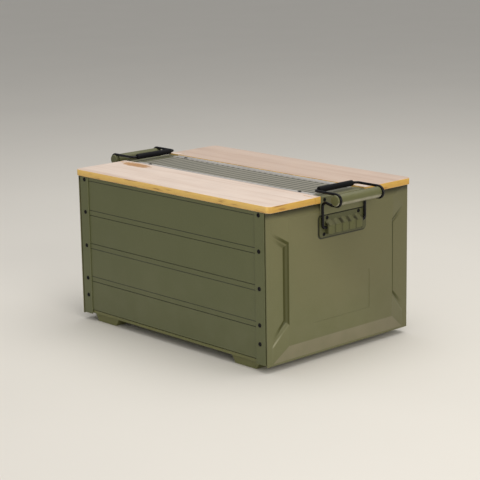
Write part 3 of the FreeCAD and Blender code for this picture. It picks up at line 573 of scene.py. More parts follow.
@dataclass(frozen=True)
class EndCoat(PowderCoat):
    """The coat of the stamped ends.

    Painted shade lies round the latch plate, under the lid, along the walls of the recesses and towards the
    back and top. Painted highlights lie on the lower edges of the recesses and, as light bounced up from
    the floor, on the foot bevel. Heights are above the ground, and widths go out from the panel's middle.
    """

    dirt_amount: float = 0.35
    lid_grime: tuple[float, float] = (276 * MM, 287 * MM)
    lid_grime_amount: float = 0.75
    recess_edge: float = 137 * MM
    recess_tip: float = 173 * MM
    recess_low: float = 83 * MM
    recess_high: float = 230 * MM
    recess_draft: float = 6 * MM
    recess_low_slope: float = 78 / 54
    recess_high_slope: float = 50 / 54
    foot_low_slope: float = 1.0
    foot_high_slope: float = 0.66
    # Colour of the painted shade in the recesses; the glint is their painted highlight.
    recess_dirt: Colour = (0.040, 0.041, 0.0005)
    recess_glint: Colour = (0.34, 0.33, 0.22)
    soft_edge: float = 1 * MM
    edge_line: tuple[float, float] = (0.9 * MM, 2.2 * MM)
    foot_line: tuple[float, float] = (1.3 * MM, 2.8 * MM)
    glint_line: tuple[float, float] = (0.5 * MM, 1.2 * MM)
    line_amount: float = 0.95
    roof_amount: float = 0.48
    wall_amounts: tuple[float, float] = (0.66, 0.10)
    lit_side: tuple[float, float] = (10 * MM, -10 * MM)
    lit_amounts: tuple[float, float] = (0.2, 1.0)
    glint_run: tuple[float, float] = (0.3, 0.8)
    glint_amounts: tuple[float, float] = (0.12, 0.6)
    glint_end: float = 0.92
    fade_run: tuple[float, float] = (1.02, 0.25)
    plate_half: float = 60 * MM
    plate_low: float = 227 * MM
    plate_high: float = 265.8 * MM
    plate_corner: float = 6 * MM
    # Painted shade round the latch plate: where it starts, where it is full, and how strong.
    dirt_reach: float = 3.8 * MM
    dirt_line: float = 2.2 * MM
    plate_dirt_amount: float = 0.9
    bevel_top: float = 46 * MM
    # Colour and strength of painted light bounced up from the floor onto the foot bevel.
    bevel_colour: Colour = (0.270, 0.237, 0.160)
    bevel_amount: float = 0.6
    bevel_tilt: tuple[float, float] = (-0.08, -0.19)
    bevel_border: float = 3 * MM
    shade_middle: float = 150 * MM
    shade_slope: float = 0.8
    shade_border: tuple[float, float] = (-60 * MM, 70 * MM)
    shade_amount: float = 0.16

    def plate_dirt(self, graph: Graph, place: Socket) -> Socket:
        """Painted shade: a dark line round the rounded outline of the latch plate.

        Args:
            graph: The material's graph.
            place: The place on the panel.

        Returns:
            A mask.
        """
        _, y, z = graph.separate(place)
        middle = (self.plate_low + self.plate_high) / 2
        half_height = (self.plate_high - self.plate_low) / 2
        spots = ((y, self.plate_half), (graph.minus(z, middle), half_height))
        past = [
            graph.most(graph.minus(graph.size(spot), half - self.plate_corner), 0.0)
            for spot, half in spots
        ]
        start, end = self.plate_corner + self.dirt_reach, self.plate_corner + self.dirt_line
        return graph.step(graph.distance(*past), start, end, 0.0, self.plate_dirt_amount)

    def recess_lines(self, graph: Graph, place: Socket) -> tuple[Socket, Socket]:
        """Painted shade along the foot and edge of the recess walls, and a painted highlight on the lower
        edge.

        Args:
            graph: The material's graph.
            place: The place on the panel.

        Returns:
            A mask of the painted shade and a mask of the painted highlight.
        """
        _, y, z = graph.separate(place)
        out = graph.minus(graph.size(y), self.recess_edge)
        above = graph.minus(z, self.recess_low)
        below = graph.minus(self.recess_high, z)
        low = self.past_slope(graph, above, out, self.recess_low_slope)
        high = self.past_slope(graph, below, out, self.recess_high_slope)
        length = self.recess_tip - self.recess_edge
        brim = graph.times(graph.most(out, 0.0), self.recess_draft / length)
        depth = graph.least(graph.least(out, high), low)
        past = graph.minus(depth, brim)
        floor = self.is_less(graph, low, graph.least(out, high))
        roof = self.is_less(graph, high, graph.least(out, low))
        rest = graph.minus(1.0, floor)
        foot_low = self.past_slope(graph, above, out, self.foot_low_slope)
        foot_high = self.past_slope(graph, below, out, self.foot_high_slope)
        foot_depth = graph.least(graph.least(out, foot_high), foot_low)
        foot = self.band(graph, graph.minus(foot_depth, self.recess_draft), *self.foot_line)
        edge = self.band(graph, past, *self.edge_line)
        inside = graph.step(foot_depth, self.recess_draft + self.soft_edge, self.recess_draft)
        wall = graph.times(graph.step(past, 0.0, self.soft_edge), inside)
        wall_amount = graph.step(graph.most(roof, floor), 0.0, 1.0, *self.wall_amounts)
        foot_amount = graph.step(roof, 0.0, 1.0, self.line_amount, self.roof_amount)
        dark = graph.times(graph.times(edge, rest), self.line_amount)
        dark = graph.most(dark, graph.times(foot, foot_amount))
        dark = graph.most(dark, graph.times(wall, wall_amount))
        light = graph.times(self.band(graph, past, *self.glint_line), floor)
        light = graph.times(light, graph.step(y, *self.lit_side, *self.lit_amounts))
        run = graph.ratio(out, length)
        light = graph.times(light, graph.step(run, *self.glint_run, *self.glint_amounts))
        light = graph.times(light, graph.step(run, 1.0, self.glint_end))
        return graph.times(dark, graph.step(run, *self.fade_run)), light

    @staticmethod
    def is_less(graph: Graph, value: Socket, other: Socket) -> Socket:
        """A mask of where one distance is less than another, with a soft border."""
        return graph.step(graph.minus(value, other), 0.6 * MM, -0.6 * MM)

    @staticmethod
    def past_slope(graph: Graph, rise: Socket, out: Socket, slope: float) -> Socket:
        """How deep the wall is past a line that slopes outwards.

        Args:
            graph: The material's graph.
            rise: The height past the line's start.
            out: The distance outwards from the line's start.
            slope: How steeply the line moves away.

        Returns:
            How deep the recess wall that starts at the line would be here.
        """
        raised = graph.plus(rise, graph.times(out, slope))
        return graph.ratio(raised, 1.0 + slope)

    @staticmethod
    def band(graph: Graph, distance: Socket, full: float, end: float) -> Socket:
        """A line with soft edges, full near distance 0 and gone at the end."""
        return graph.step(graph.size(distance), end, full)

    def soiled(self, graph: Graph, at: Node, colour: Socket) -> Socket:
        """Add painted floor-bounce light on the foot bevel, and painted shade under the lid, in the
        recesses, round the plate and towards the back and top.

        Args:
            graph: The material's graph.
            at: The coordinate node.
            colour: The coat's colour.

        Returns:
            The colour that shows.
        """
        place = at.outputs["Object"]
        # Painted light bounced up from the floor onto the downward-facing foot bevel.
        tilt = graph.step(graph.separate(at.outputs["Normal"])[2], *self.bevel_tilt)
        low = graph.step(graph.separate(place)[2], self.bevel_top, self.bevel_top - self.bevel_border)
        streaks = graph.step(graph.noise(place, 30.0, 4.0), 0.3, 0.7, 0.75, 1.0)
        film = graph.times(graph.times(tilt, low), streaks)
        film = graph.times(film, self.bevel_amount)
        dusty = graph.mix(film, colour, opaque(self.bevel_colour))
        dark, light = self.recess_lines(graph, place)
        # Painted shade towards the back and the top of the panel.
        shaded = graph.mix(self.bleach(graph, place), dusty, opaque(PAINTED_SHADE_COLOUR))
        # Painted highlight, then painted shade, along the recess walls.
        lined = graph.mix(light, shaded, opaque(self.recess_glint))
        lined = graph.mix(dark, lined, opaque(self.recess_dirt))
        # Painted shade under the lid's overhang, joined with the painted shade round the latch plate.
        contact_shade = graph.step(graph.separate(place)[2], *self.lid_grime, 0.0, self.lid_grime_amount)
        contact_shade = graph.most(contact_shade, self.plate_dirt(graph, place))
        return graph.mix(contact_shade, lined, opaque(PAINTED_SHADE_COLOUR))

    def bleach(self, graph: Graph, place: Socket) -> Socket:
        """Painted shade: how much darker the coat is made at the back and high up, where less light falls.

        Args:
            graph: The material's graph.
            place: The place on the panel.

        Returns:
            A mask.
        """
        _, y, z = graph.separate(place)
        height = graph.times(graph.minus(z, self.shade_middle), self.shade_slope)
        return graph.step(graph.plus(y, height), *self.shade_border, 0.0, self.shade_amount)


@dataclass(frozen=True)
class TreadCoat(PowderCoat):
    """The coat of the ribbed strip, with painted shade in the valleys between its ribs."""

    rib_pitch: float = RIB_PITCH
    valley: Colour = (0.055, 0.055, 0.040)

    def soiled(self, graph: Graph, at: Node, colour: Socket) -> Socket:
        """Paint shade into the valleys.

        Args:
            graph: The material's graph.
            at: The coordinate node.
            colour: The coat's colour.

        Returns:
            The colour that shows.
        """
        x = graph.separate(at.outputs["Object"])[0]
        wave = graph.wave(x, self.rib_pitch)
        # Painted shade between the ribs.
        return graph.mix(graph.step(wave, 0.1, 0.8, 0.0, 0.85), colour, opaque(self.valley))


@dataclass(frozen=True)
class FlutedCoat(PowderCoat):
    """The coat of the latch blocks, with painted shade in the valleys between the flutes."""

    flute_pitch: float = 18.2 * MM
    shoulder: float = 249 * MM
    valley: Colour = (0.020, 0.018, 0.006)

    def soiled(self, graph: Graph, at: Node, colour: Socket) -> Socket:
        """Paint shade into the valleys, most of all on the sloping top.

        Args:
            graph: The material's graph.
            at: The coordinate node.
            colour: The coat's colour.

        Returns:
            The colour that shows.
        """
        _, y, z = graph.separate(at.outputs["Object"])
        wave = graph.wave(y, self.flute_pitch)
        upright = graph.step(wave, -0.7, -0.98, 0.0, 0.42)
        blots = graph.step(graph.noise(at.outputs["Object"], 70.0, 3.0), 0.42, 0.58, 0.35, 1.0)
        sloping = graph.times(graph.step(wave, 0.2, -0.7, 0.22, 0.9), blots)
        high = graph.step(z, self.shoulder - 4 * MM, self.shoulder + 2 * MM)
        # Painted shade in the grooves between flutes and between their sloping tops.
        painted_shade = graph.most(upright, graph.times(sloping, high))
        return graph.mix(painted_shade, colour, opaque(self.valley))


@dataclass(frozen=True)
class TubeCoat(PowderCoat):
    """The coat of the carrying tubes, with a painted highlight along the underside from floor light."""

    held: Colour = (0.285, 0.270, 0.195)

    def soiled(self, graph: Graph, at: Node, colour: Socket) -> Socket:
        """Add the painted highlight on the underside.

        Args:
            graph: The material's graph.
            at: The coordinate node.
            colour: The coat's colour.

        Returns:
            The colour that shows.
        """
        place = at.outputs["Object"]
        below = graph.step(graph.separate(at.outputs["Normal"])[2], -0.12, -0.42, 0.0, 0.85)
        worn = graph.step(graph.noise(place, 60.0, 4.0), 0.3, 0.6, 0.6, 1.0)
        # Painted highlight on the underside, as light bounced up from the floor.
        return graph.mix(graph.times(below, worn), colour, opaque(self.held))


@dataclass(frozen=True)
class BambooBoard:
    """Pressed bamboo: pale strips on the faces, golden layers at the edges."""

    name: str
    face: Colour
    face_dark: Colour
    edge: Colour
    edge_dark: Colour
    end_grain: Colour = (0.62, 0.37, 0.070)
    rubbed: Colour = (0.42, 0.20, 0.050)
    strip_width: float = 21 * MM
    strip_length: float = 0.46
    layer_height: float = 4.2 * MM
    edge_low: float = 290.5 * MM
    edge_middle: float = 297 * MM
    # Middle and reach of a brown patch beside one latch.
    rub_middle: tuple[float, float] = (-0.216, -0.078)
    rub_reach: tuple[float, float] = (0.044, 0.0145)

    def strips(self, graph: Graph, place: Socket) -> Socket:
        """A tone for each strip of the face.

        Args:
            graph: The material's graph.
            place: The place on the board.

        Returns:
            A number from 0 to 1 that is steady within a strip.
        """
        x, y, _ = graph.separate(place)
        row = graph.math("FLOOR", graph.ratio(y, self.strip_width))
        shift = graph.chance("1D", W=row)
        along = graph.plus(graph.ratio(x, self.strip_length), shift)
        spot = graph.combine(row, graph.math("FLOOR", along), 0.0)
        return graph.chance("2D", Vector=spot)

    def face_colour(self, graph: Graph, place: Socket) -> Socket:
        """The pale colour of the upper and lower faces.

        Args:
            graph: The material's graph.
            place: The place on the board.

        Returns:
            The colour.
        """
        fibre = graph.fibres(place, (9.0, 620.0, 620.0))
        streaks = graph.fibres(place, (3.5, 150.0, 150.0))
        waves = graph.fibres(place, (4.0, 26.0, 26.0))
        dark = graph.total(
            (graph.step(fibre, 0.42, 0.72), 0.22),
            (graph.step(streaks, 0.46, 0.7), 0.34),
            (self.strips(graph, place), 0.16),
            (graph.step(waves, 0.42, 0.68), 0.24),
        )
        return graph.mix(dark, opaque(self.face), opaque(self.face_dark))

    def edge_colour(self, graph: Graph, at: Node) -> Socket:
        """The golden colour of the cut edges, in layers with brown marks, and browner at the end grain.

        Args:
            graph: The material's graph.
            at: The coordinate node.

        Returns:
            The colour.
        """
        place = at.outputs["Object"]
        z = graph.separate(place)[2]
        layer = graph.math("FLOOR", graph.ratio(z, self.layer_height))
        tone = graph.chance("1D", W=layer)
        fibre = graph.fibres(place, (60.0, 60.0, 900.0))
        marks = graph.step(graph.fibres(place, (22.0, 22.0, 160.0), 4.0), 0.55, 0.72)
        dark = graph.total(
            (tone, 0.14),
            (marks, 0.70),
            (graph.step(fibre, 0.45, 0.7), 0.16),
            (graph.step(z, self.edge_middle, self.edge_low), 0.30),
        )
        across = graph.size(graph.separate(at.outputs["Normal"])[0])
        cut = graph.mix(graph.step(across, 0.4, 0.8), opaque(self.edge), opaque(self.end_grain))
        return graph.mix(dark, cut, opaque(self.edge_dark))

    def rubbed_spot(self, graph: Graph, place: Socket) -> Socket:
        """A brown patch on the face beside one latch.

        Args:
            graph: The material's graph.
            place: The place on the board.

        Returns:
            A mask.
        """
        x, y, _ = graph.separate(place)
        across = [
            graph.ratio(graph.minus(value, middle), reach)
            for value, middle, reach in zip((x, y), self.rub_middle, self.rub_reach)
        ]
        ragged = graph.plus(graph.distance(*across), graph.noise(place, 120.0, 4.0))
        return graph.step(ragged, 1.62, 1.2, 0.0, 0.88)

    def material(self, effects: Effects) -> bpy.types.Material:
        """Build the material.

        Args:
            effects: The shared node groups.

        Returns:
            The finished material.
        """
        material, graph, shader, at = start_material(self.name)
        place = at.outputs["Object"]
        level = graph.size(graph.separate(at.outputs["Normal"])[2])
        flat = graph.step(level, 0.45, 0.9)
        edge = self.edge_colour(graph, at)
        face = graph.mix(self.rubbed_spot(graph, place), self.face_colour(graph, place), opaque(self.rubbed))
        graph.feed(shader.inputs["Base Color"], graph.mix(flat, edge, face))
        smears = graph.noise(place, 24.0, 4.0)
        graph.feed(shader.inputs["Roughness"], graph.step(smears, 0.3, 0.7, 0.42, 0.55))
        fibre = graph.fibres(place, (14.0, 700.0, 700.0))
        bump(graph, shader, fibre, 0.12, 0.2 * MM)
        return material


@dataclass(frozen=True)
class DrawnMetal:
    """Bare or anodised metal with fine lines along X."""

    name: str
    colour: Colour
    metallic: float
    sheen: float

    def tone(self, graph: Graph, place: Socket) -> Socket:
        """The metal's colour, in slow clouds.

        Args:
            graph: The material's graph.
            place: The place on the piece.

        Returns:
            The colour.
        """
        darker = tuple(part * 0.8 for part in self.colour)
        clouds = graph.step(graph.noise(place, 14.0, 3.0), 0.35, 0.7)
        return graph.mix(clouds, opaque(self.colour), opaque(darker))

    def material(self, effects: Effects) -> bpy.types.Material:
        """Build the material.

        Args:
            effects: The shared node groups.

        Returns:
            The finished material.
        """
        material, graph, shader, at = start_material(self.name)
        place = at.outputs["Object"]
        drawn = graph.group(effects.drawn_metal, {"Place": place, "Sheen": self.sheen})
        graph.feed(shader.inputs["Base Color"], self.tone(graph, place))
        shader.inputs["Metallic"].default_value = self.metallic
        graph.feed(shader.inputs["Roughness"], drawn.outputs["Roughness"])
        bump(graph, shader, drawn.outputs["Height"], 0.08, 0.1 * MM)
        return material


@dataclass(frozen=True)
class RailMetal(DrawnMetal):
    """Metal of the rails and their hinges, with painted shade along the front half of each."""

    # Colour of the painted shade on the front half of each rail.
    dull: Colour = (0.37, 0.35, 0.325)
    inner: float = 42 * MM
    outer: float = 58.1 * MM
    bright_width: float = 7.5 * MM
    border: float = 2.5 * MM

    def tone(self, graph: Graph, place: Socket) -> Socket:
        """The metal's colour, with painted shade on the front half.

        Args:
            graph: The material's graph.
            place: The place on the piece.

        Returns:
            The colour.
        """
        y = graph.separate(place)[1]
        rear = graph.step(y, -1 * MM, 1 * MM, -self.inner, self.outer)
        across = graph.minus(rear, y)
        # Painted shade on the front half of each rail.
        dulled = graph.step(across, self.bright_width, self.bright_width + self.border)
        return graph.mix(dulled, super().tone(graph, place), opaque(self.dull))


@dataclass(frozen=True)
class BlackFinish:
    """Black wire coat, black screws or black rubber."""

    name: str
    colour: Colour
    worn: Colour
    sheen: float
    grain_scale: float
    grain_strength: float
    shine: float = 0.12

    def material(self, effects: Effects) -> bpy.types.Material:
        """Build the material.

        Args:
            effects: The shared node groups.

        Returns:
            The finished material.
        """
        material, graph, shader, at = start_material(self.name)
        place = at.outputs["Object"]
        coat = graph.group(
            effects.coat,
            {
                "Place": place,
                "Colour": opaque(self.colour),
                "Cloud Colour": opaque(self.worn),
                "Sheen": self.sheen,
                "Peel Scale": self.grain_scale,
            },
        )
        graph.feed(shader.inputs["Base Color"], coat.outputs["Colour"])
        shader.inputs["Specular IOR Level"].default_value = self.shine
        graph.feed(shader.inputs["Roughness"], coat.outputs["Roughness"])
        bump(graph, shader, coat.outputs["Height"], self.grain_strength, COAT_RELIEF)
        return material


GOLDEN_EDGE = (0.86, 0.56, 0.15)
BROWN_MARK = (0.30, 0.135, 0.028)

FINISHES: dict[str, PowderCoat | BambooBoard | DrawnMetal | BlackFinish] = {
    "side": PowderCoat("olive_side_coat", (0.112, 0.120, 0.050), (0.106, 0.115, 0.047), (0.20, 0.20, 0.10)),
    "end": EndCoat("olive_end_coat", (0.150, 0.142, 0.064), (0.134, 0.135, 0.058), (0.26, 0.25, 0.14)),
    "latch": PowderCoat(
        "olive_latch_coat",
        (0.076, 0.077, 0.031),
        (0.068, 0.070, 0.028),
        (0.25, 0.25, 0.12),
        sheen=0.36,
        rub_amount=0.7,
    ),
    "bracket": PowderCoat(
        "olive_bracket_coat", (0.132, 0.130, 0.060), (0.118, 0.118, 0.053), (0.27, 0.27, 0.14)
    ),
    "flutes": FlutedCoat(
        "olive_flute_coat",
        (0.105, 0.106, 0.044),
        (0.094, 0.097, 0.039),
        (0.20, 0.20, 0.10),
        sheen=0.5,
        rub_amount=0.2,
        shine=0.2,
    ),
    "tube": TubeCoat(
        "olive_tube_coat",
        (0.113, 0.115, 0.046),
        (0.095, 0.099, 0.039),
        (0.26, 0.26, 0.14),
        sheen=0.34,
        peel_scale=900.0,
        peel_strength=0.6,
    ),
    "foot": PowderCoat("olive_foot_coat", (0.150, 0.150, 0.050), (0.130, 0.134, 0.045), (0.20, 0.20, 0.09)),
    "tread": TreadCoat(
        "grey_tread_coat", (0.232, 0.220, 0.177), (0.211, 0.203, 0.164), (0.33, 0.32, 0.27), sheen=0.38
    ),
    "bamboo": BambooBoard(
        "pressed_bamboo", (0.745, 0.622, 0.530), (0.560, 0.410, 0.320), GOLDEN_EDGE, BROWN_MARK
    ),
    # Darker copy of the same bamboo for the back board: painted shade.
    "darker_bamboo": BambooBoard(
        "darker_pressed_bamboo", (0.592, 0.460, 0.370), (0.452, 0.312, 0.230), GOLDEN_EDGE, BROWN_MARK
    ),
    "rail": RailMetal("satin_rail", (0.53, 0.505, 0.475), 0.35, 0.34),
    "fitting": DrawnMetal("browned_steel", (0.050, 0.048, 0.034), 0.8, 0.42),
    "wire": BlackFinish(
        "black_wire_coat", (0.002, 0.002, 0.003), (0.005, 0.004, 0.006), 0.18, 700.0, 0.12, shine=0.22
    ),
    "screw": BlackFinish("black_oxide", (0.004, 0.004, 0.005), (0.009, 0.008, 0.009), 0.30, 900.0, 0.1),
    "rubber": BlackFinish("black_rubber", (0.005, 0.005, 0.006), (0.009, 0.009, 0.010), 0.55, 1300.0, 0.5),
}


# Meshes


@dataclass(frozen=True)
class Rounding:
    """Which edges of a piece are rounded, and how far.

    It takes edges that bend by more than low and up to high degrees, where the edge and its faces are
    longer and wider than room times the width. Marked rounds show a lighter rim, partly wear and partly a
    painted highlight, or painted shade.
    """

    width: float
    low: float = 33.0
    high: float = 180.0
    segments: int = 3
    room: float = 2.2
    marked: bool = True

    def takes(self, edge: bmesh.types.BMEdge) -> bool:
        """Whether an edge is bent enough, and its faces are wide enough.

        Args:
            edge: The edge to test.

        Returns:
            True if it is to be rounded.
        """
        if not edge.is_manifold:
            return False
        bend = math.degrees(edge.calc_face_angle(0.0))
        if not self.low < bend <= self.high or edge.calc_length() < self.room * self.width:
            return False
        return all(self.breadth(face) > self.room * self.width for face in edge.link_faces)

    @staticmethod
    def breadth(face: bmesh.types.BMFace) -> float:
        """About how wide a face is across its longest side."""
        return face.calc_area() / max(edge.calc_length() for edge in face.edges)


SHEET_EDGES = (Rounding(0.5 * MM), Rounding(0.2 * MM, segments=2))
FINE_EDGES = (Rounding(0.35 * MM), Rounding(0.15 * MM, segments=2))
STAMPED_EDGES = (
    Rounding(2.0 * MM, 5.0, 25.0, 3, marked=False),
    Rounding(1.2 * MM, 25.0, 180.0, 3, 5.0),
    Rounding(0.3 * MM),
    Rounding(0.12 * MM, segments=2),
)


def show(name: str, mesh: bpy.types.Mesh) -> bpy.types.Object:
    """Put a mesh into the scene as a piece, with smooth round faces and sharp edges.

    Args:
        name: The piece's name.
        mesh: Its mesh, in place.

    Returns:
        The piece.
    """
    mesh.shade_smooth()
    mesh.set_sharp_from_angle(angle=SHARP_ANGLE)
    piece = bpy.data.objects.new(name, mesh)
    bpy.context.scene.collection.objects.link(piece)
    return piece


def merged(node: str) -> bmesh.types.BMesh:
    """A copy of a node's mesh, with its triangles joined up again.

    Args:
        node: The node's name.

    Returns:
        The copy.
    """
    shape = bmesh.new()
    shape.from_mesh(frame["nodes"][node].data)
    bmesh.ops.remove_doubles(shape, verts=shape.verts, dist=MERGE_DISTANCE)
    return shape


def finished_mesh(shape: bmesh.types.BMesh, name: str) -> bpy.types.Mesh:
    """Turn a shape into a mesh that has no normals left from elsewhere.

    Args:
        shape: The shape, which is freed.
        name: The mesh's name.

    Returns:
        The mesh.
    """
    mesh = bpy.data.meshes.new(name)
    shape.to_mesh(mesh)
    shape.free()
    stale = mesh.attributes.get("custom_normal")
    if stale is not None:
        mesh.attributes.remove(stale)
    return mesh


def softened(node: str, roundings: Sequence[Rounding], seamed: bool) -> bpy.types.Mesh:
    """A node's shape with hard edges rounded, the rounds marked as rim (lighter) or deep (painted shade).

    Args:
        node: The node's name.
        roundings: The rounds to make, in order.
        seamed: Whether every slanting face counts as deep, painted shade as at the seams where sheets meet.

    Returns:
        The new mesh.
    """
    shape = merged(node)
    bmesh.ops.dissolve_limit(shape, angle_limit=FLAT_ANGLE, verts=shape.verts, edges=shape.edges)
    rim = shape.faces.layers.float.new("rim")
    deep = shape.faces.layers.float.new("deep")
    for rounding in roundings:
        edges = [edge for edge in shape.edges if rounding.takes(edge)]
        made = bmesh.ops.bevel(
            shape,
            geom=edges,
            offset=rounding.width,
            offset_type="OFFSET",
            segments=rounding.segments,
            profile=0.5,
            affect="EDGES",
            clamp_overlap=True,
        )
        shape.normal_update()
        # Outward rounds: lighter rim, wear and painted highlight. Inward rounds: painted shade.
        for face in made["faces"] if rounding.marked else ():
            turn = sum(edge.calc_face_angle_signed(0.0) for edge in face.edges)
            face[rim if turn > 0 else deep] = 1.0
    # On seamed sheets every slanting face takes painted shade, as the shadow in a seam.
    for face in shape.faces if seamed else ():
        face[rim] = 0.0
        face[deep] = float(max(abs(part) for part in face.normal) < SLANTED)
    return finished_mesh(shape, f"{node}_skin")


@dataclass(frozen=True)
class Box:
    """A box between two corners."""

    low: Vector
    high: Vector

    def middle(self) -> Vector:
        """The box's middle."""
        return (self.low + self.high) / 2

    def size(self) -> Vector:
        """The box's three lengths."""
        return self.high - self.low

    def reach(self, way: Vector) -> float:
        """How far the box goes along a unit vector.

        Args:
            way: The unit vector, along an axis.

        Returns:
            The distance from the origin, signed along the vector.
        """
        return max(self.low.dot(way), self.high.dot(way))


def node_box(node: str) -> Box:
    """The box of a node at rest."""
    return Box(*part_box(node))


def solids(node: str) -> list[Box]:
    """The box of each separate solid in a node.

    Args:
        node: The node's name.

    Returns:
        One box for each solid.
    """
    shape = merged(node)
    left = set(shape.verts)
    boxes = []
    while left:
        found, edge = set(), [left.pop()]
        while edge:
            vertex = edge.pop()
            found.add(vertex)
            for link in vertex.link_edges:
                other = link.other_vert(vertex)
                if other in left:
                    left.remove(other)
                    edge.append(other)
        corners = [vertex.co.copy() for vertex in found]
        low = Vector(min(corner[i] for corner in corners) for i in range(3))
        high = Vector(max(corner[i] for corner in corners) for i in range(3))
        boxes.append(Box(low, high))
    shape.free()
    return sorted(boxes, key=lambda box: tuple(box.middle()))


def lathe(name: str, middle: Vector, profile: Profile, sides: int = 48) -> bpy.types.Mesh:
    """A round piece about an axis along Y.

    Args:
        name: The mesh's name.
        middle: A point on the axis.
        profile: Places along Y from the middle, with the radius at each. It closes on itself.
        sides: How many sides the round has.

    Returns:
        The mesh.
    """
    shape = bmesh.new()
    rings = []
    for along, radius in profile:
        angles = [math.tau * i / sides for i in range(sides)]
        spots = [Vector((math.cos(a) * radius, along, math.sin(a) * radius)) for a in angles]
        rings.append([shape.verts.new(middle + spot) for spot in spots])
    for first, second in zip(rings, rings[1:] + rings[:1]):
        for i in range(sides):
            j = (i + 1) % sides
            shape.faces.new((first[i], first[j], second[j], second[i]))
    bmesh.ops.remove_doubles(shape, verts=shape.verts, dist=MERGE_DISTANCE)
    bmesh.ops.recalc_face_normals(shape, faces=shape.faces)
    return finished_mesh(shape, name)


def corner_arc(along: float, radius: float, turn: float, steps: int = 5) -> Profile:
    """The rounded outer corner of a lathe profile, at an end face that looks along +Y.

    Args:
        along: Where the end face is.
        radius: The radius of the round face.
        turn: The corner's own radius.
        steps: How many short lines make the corner.

    Returns:
        Points from the round face to the end face.
    """
    points = []
    for i in range(steps + 1):
        angle = math.pi / 2 * i / steps
        points.append((along - turn * (1 - math.sin(angle)), radius - turn * (1 - math.cos(angle))))
    return points


# Geometry Nodes


def geometry_group(name: str, inputs: dict[str, str]) -> tuple[Graph, Node, Node]:
    """Start a Geometry Nodes tree that takes a mesh and its sizes, and gives a mesh.

    Args:
        name: The tree's name.
        inputs: Names and types of its sizes.

    Returns:
        The graph, its input node and its output node.
    """
    sockets = {"Seats": GEOMETRY, **inputs, "Finish": MATERIAL}
    return new_group(name, "GeometryNodeTree", sockets, {"Piece": GEOMETRY})


def close_geometry(graph: Graph, take: Node, give: Node, result: Feed) -> Tree:
    """End a Geometry Nodes tree: real geometry, with its finish.

    Args:
        graph: The tree's graph.
        take: Its input node.
        give: Its output node.
        result: The geometry's socket.

    Returns:
        The tree.
    """
    real = graph.add("GeometryNodeRealizeInstances", {"Geometry": result})
    dressed = graph.add(
        "GeometryNodeSetMaterial", {"Geometry": real.outputs["Geometry"], "Material": take.outputs["Finish"]}
    )
    graph.feed(give.inputs["Piece"], dressed.outputs["Geometry"])
    return graph.tree


def moved(graph: Graph, geometry: Feed, **changes: Feed) -> Socket:
    """Geometry moved, turned or scaled inside a tree.

    Args:
        graph: The tree's graph.
        geometry: The geometry's socket.
        **changes: Translation, Rotation or Scale.

    Returns:
        The moved geometry.
    """
    return graph.add("GeometryNodeTransform", {"Geometry": geometry, **changes}).outputs["Geometry"]


def joined(graph: Graph, *parts: Socket) -> Socket:
    """Several geometries as one."""
    node = graph.add("GeometryNodeJoinGeometry")
    for part in parts:
        graph.tree.links.new(part, node.inputs["Geometry"])
    return node.outputs["Geometry"]


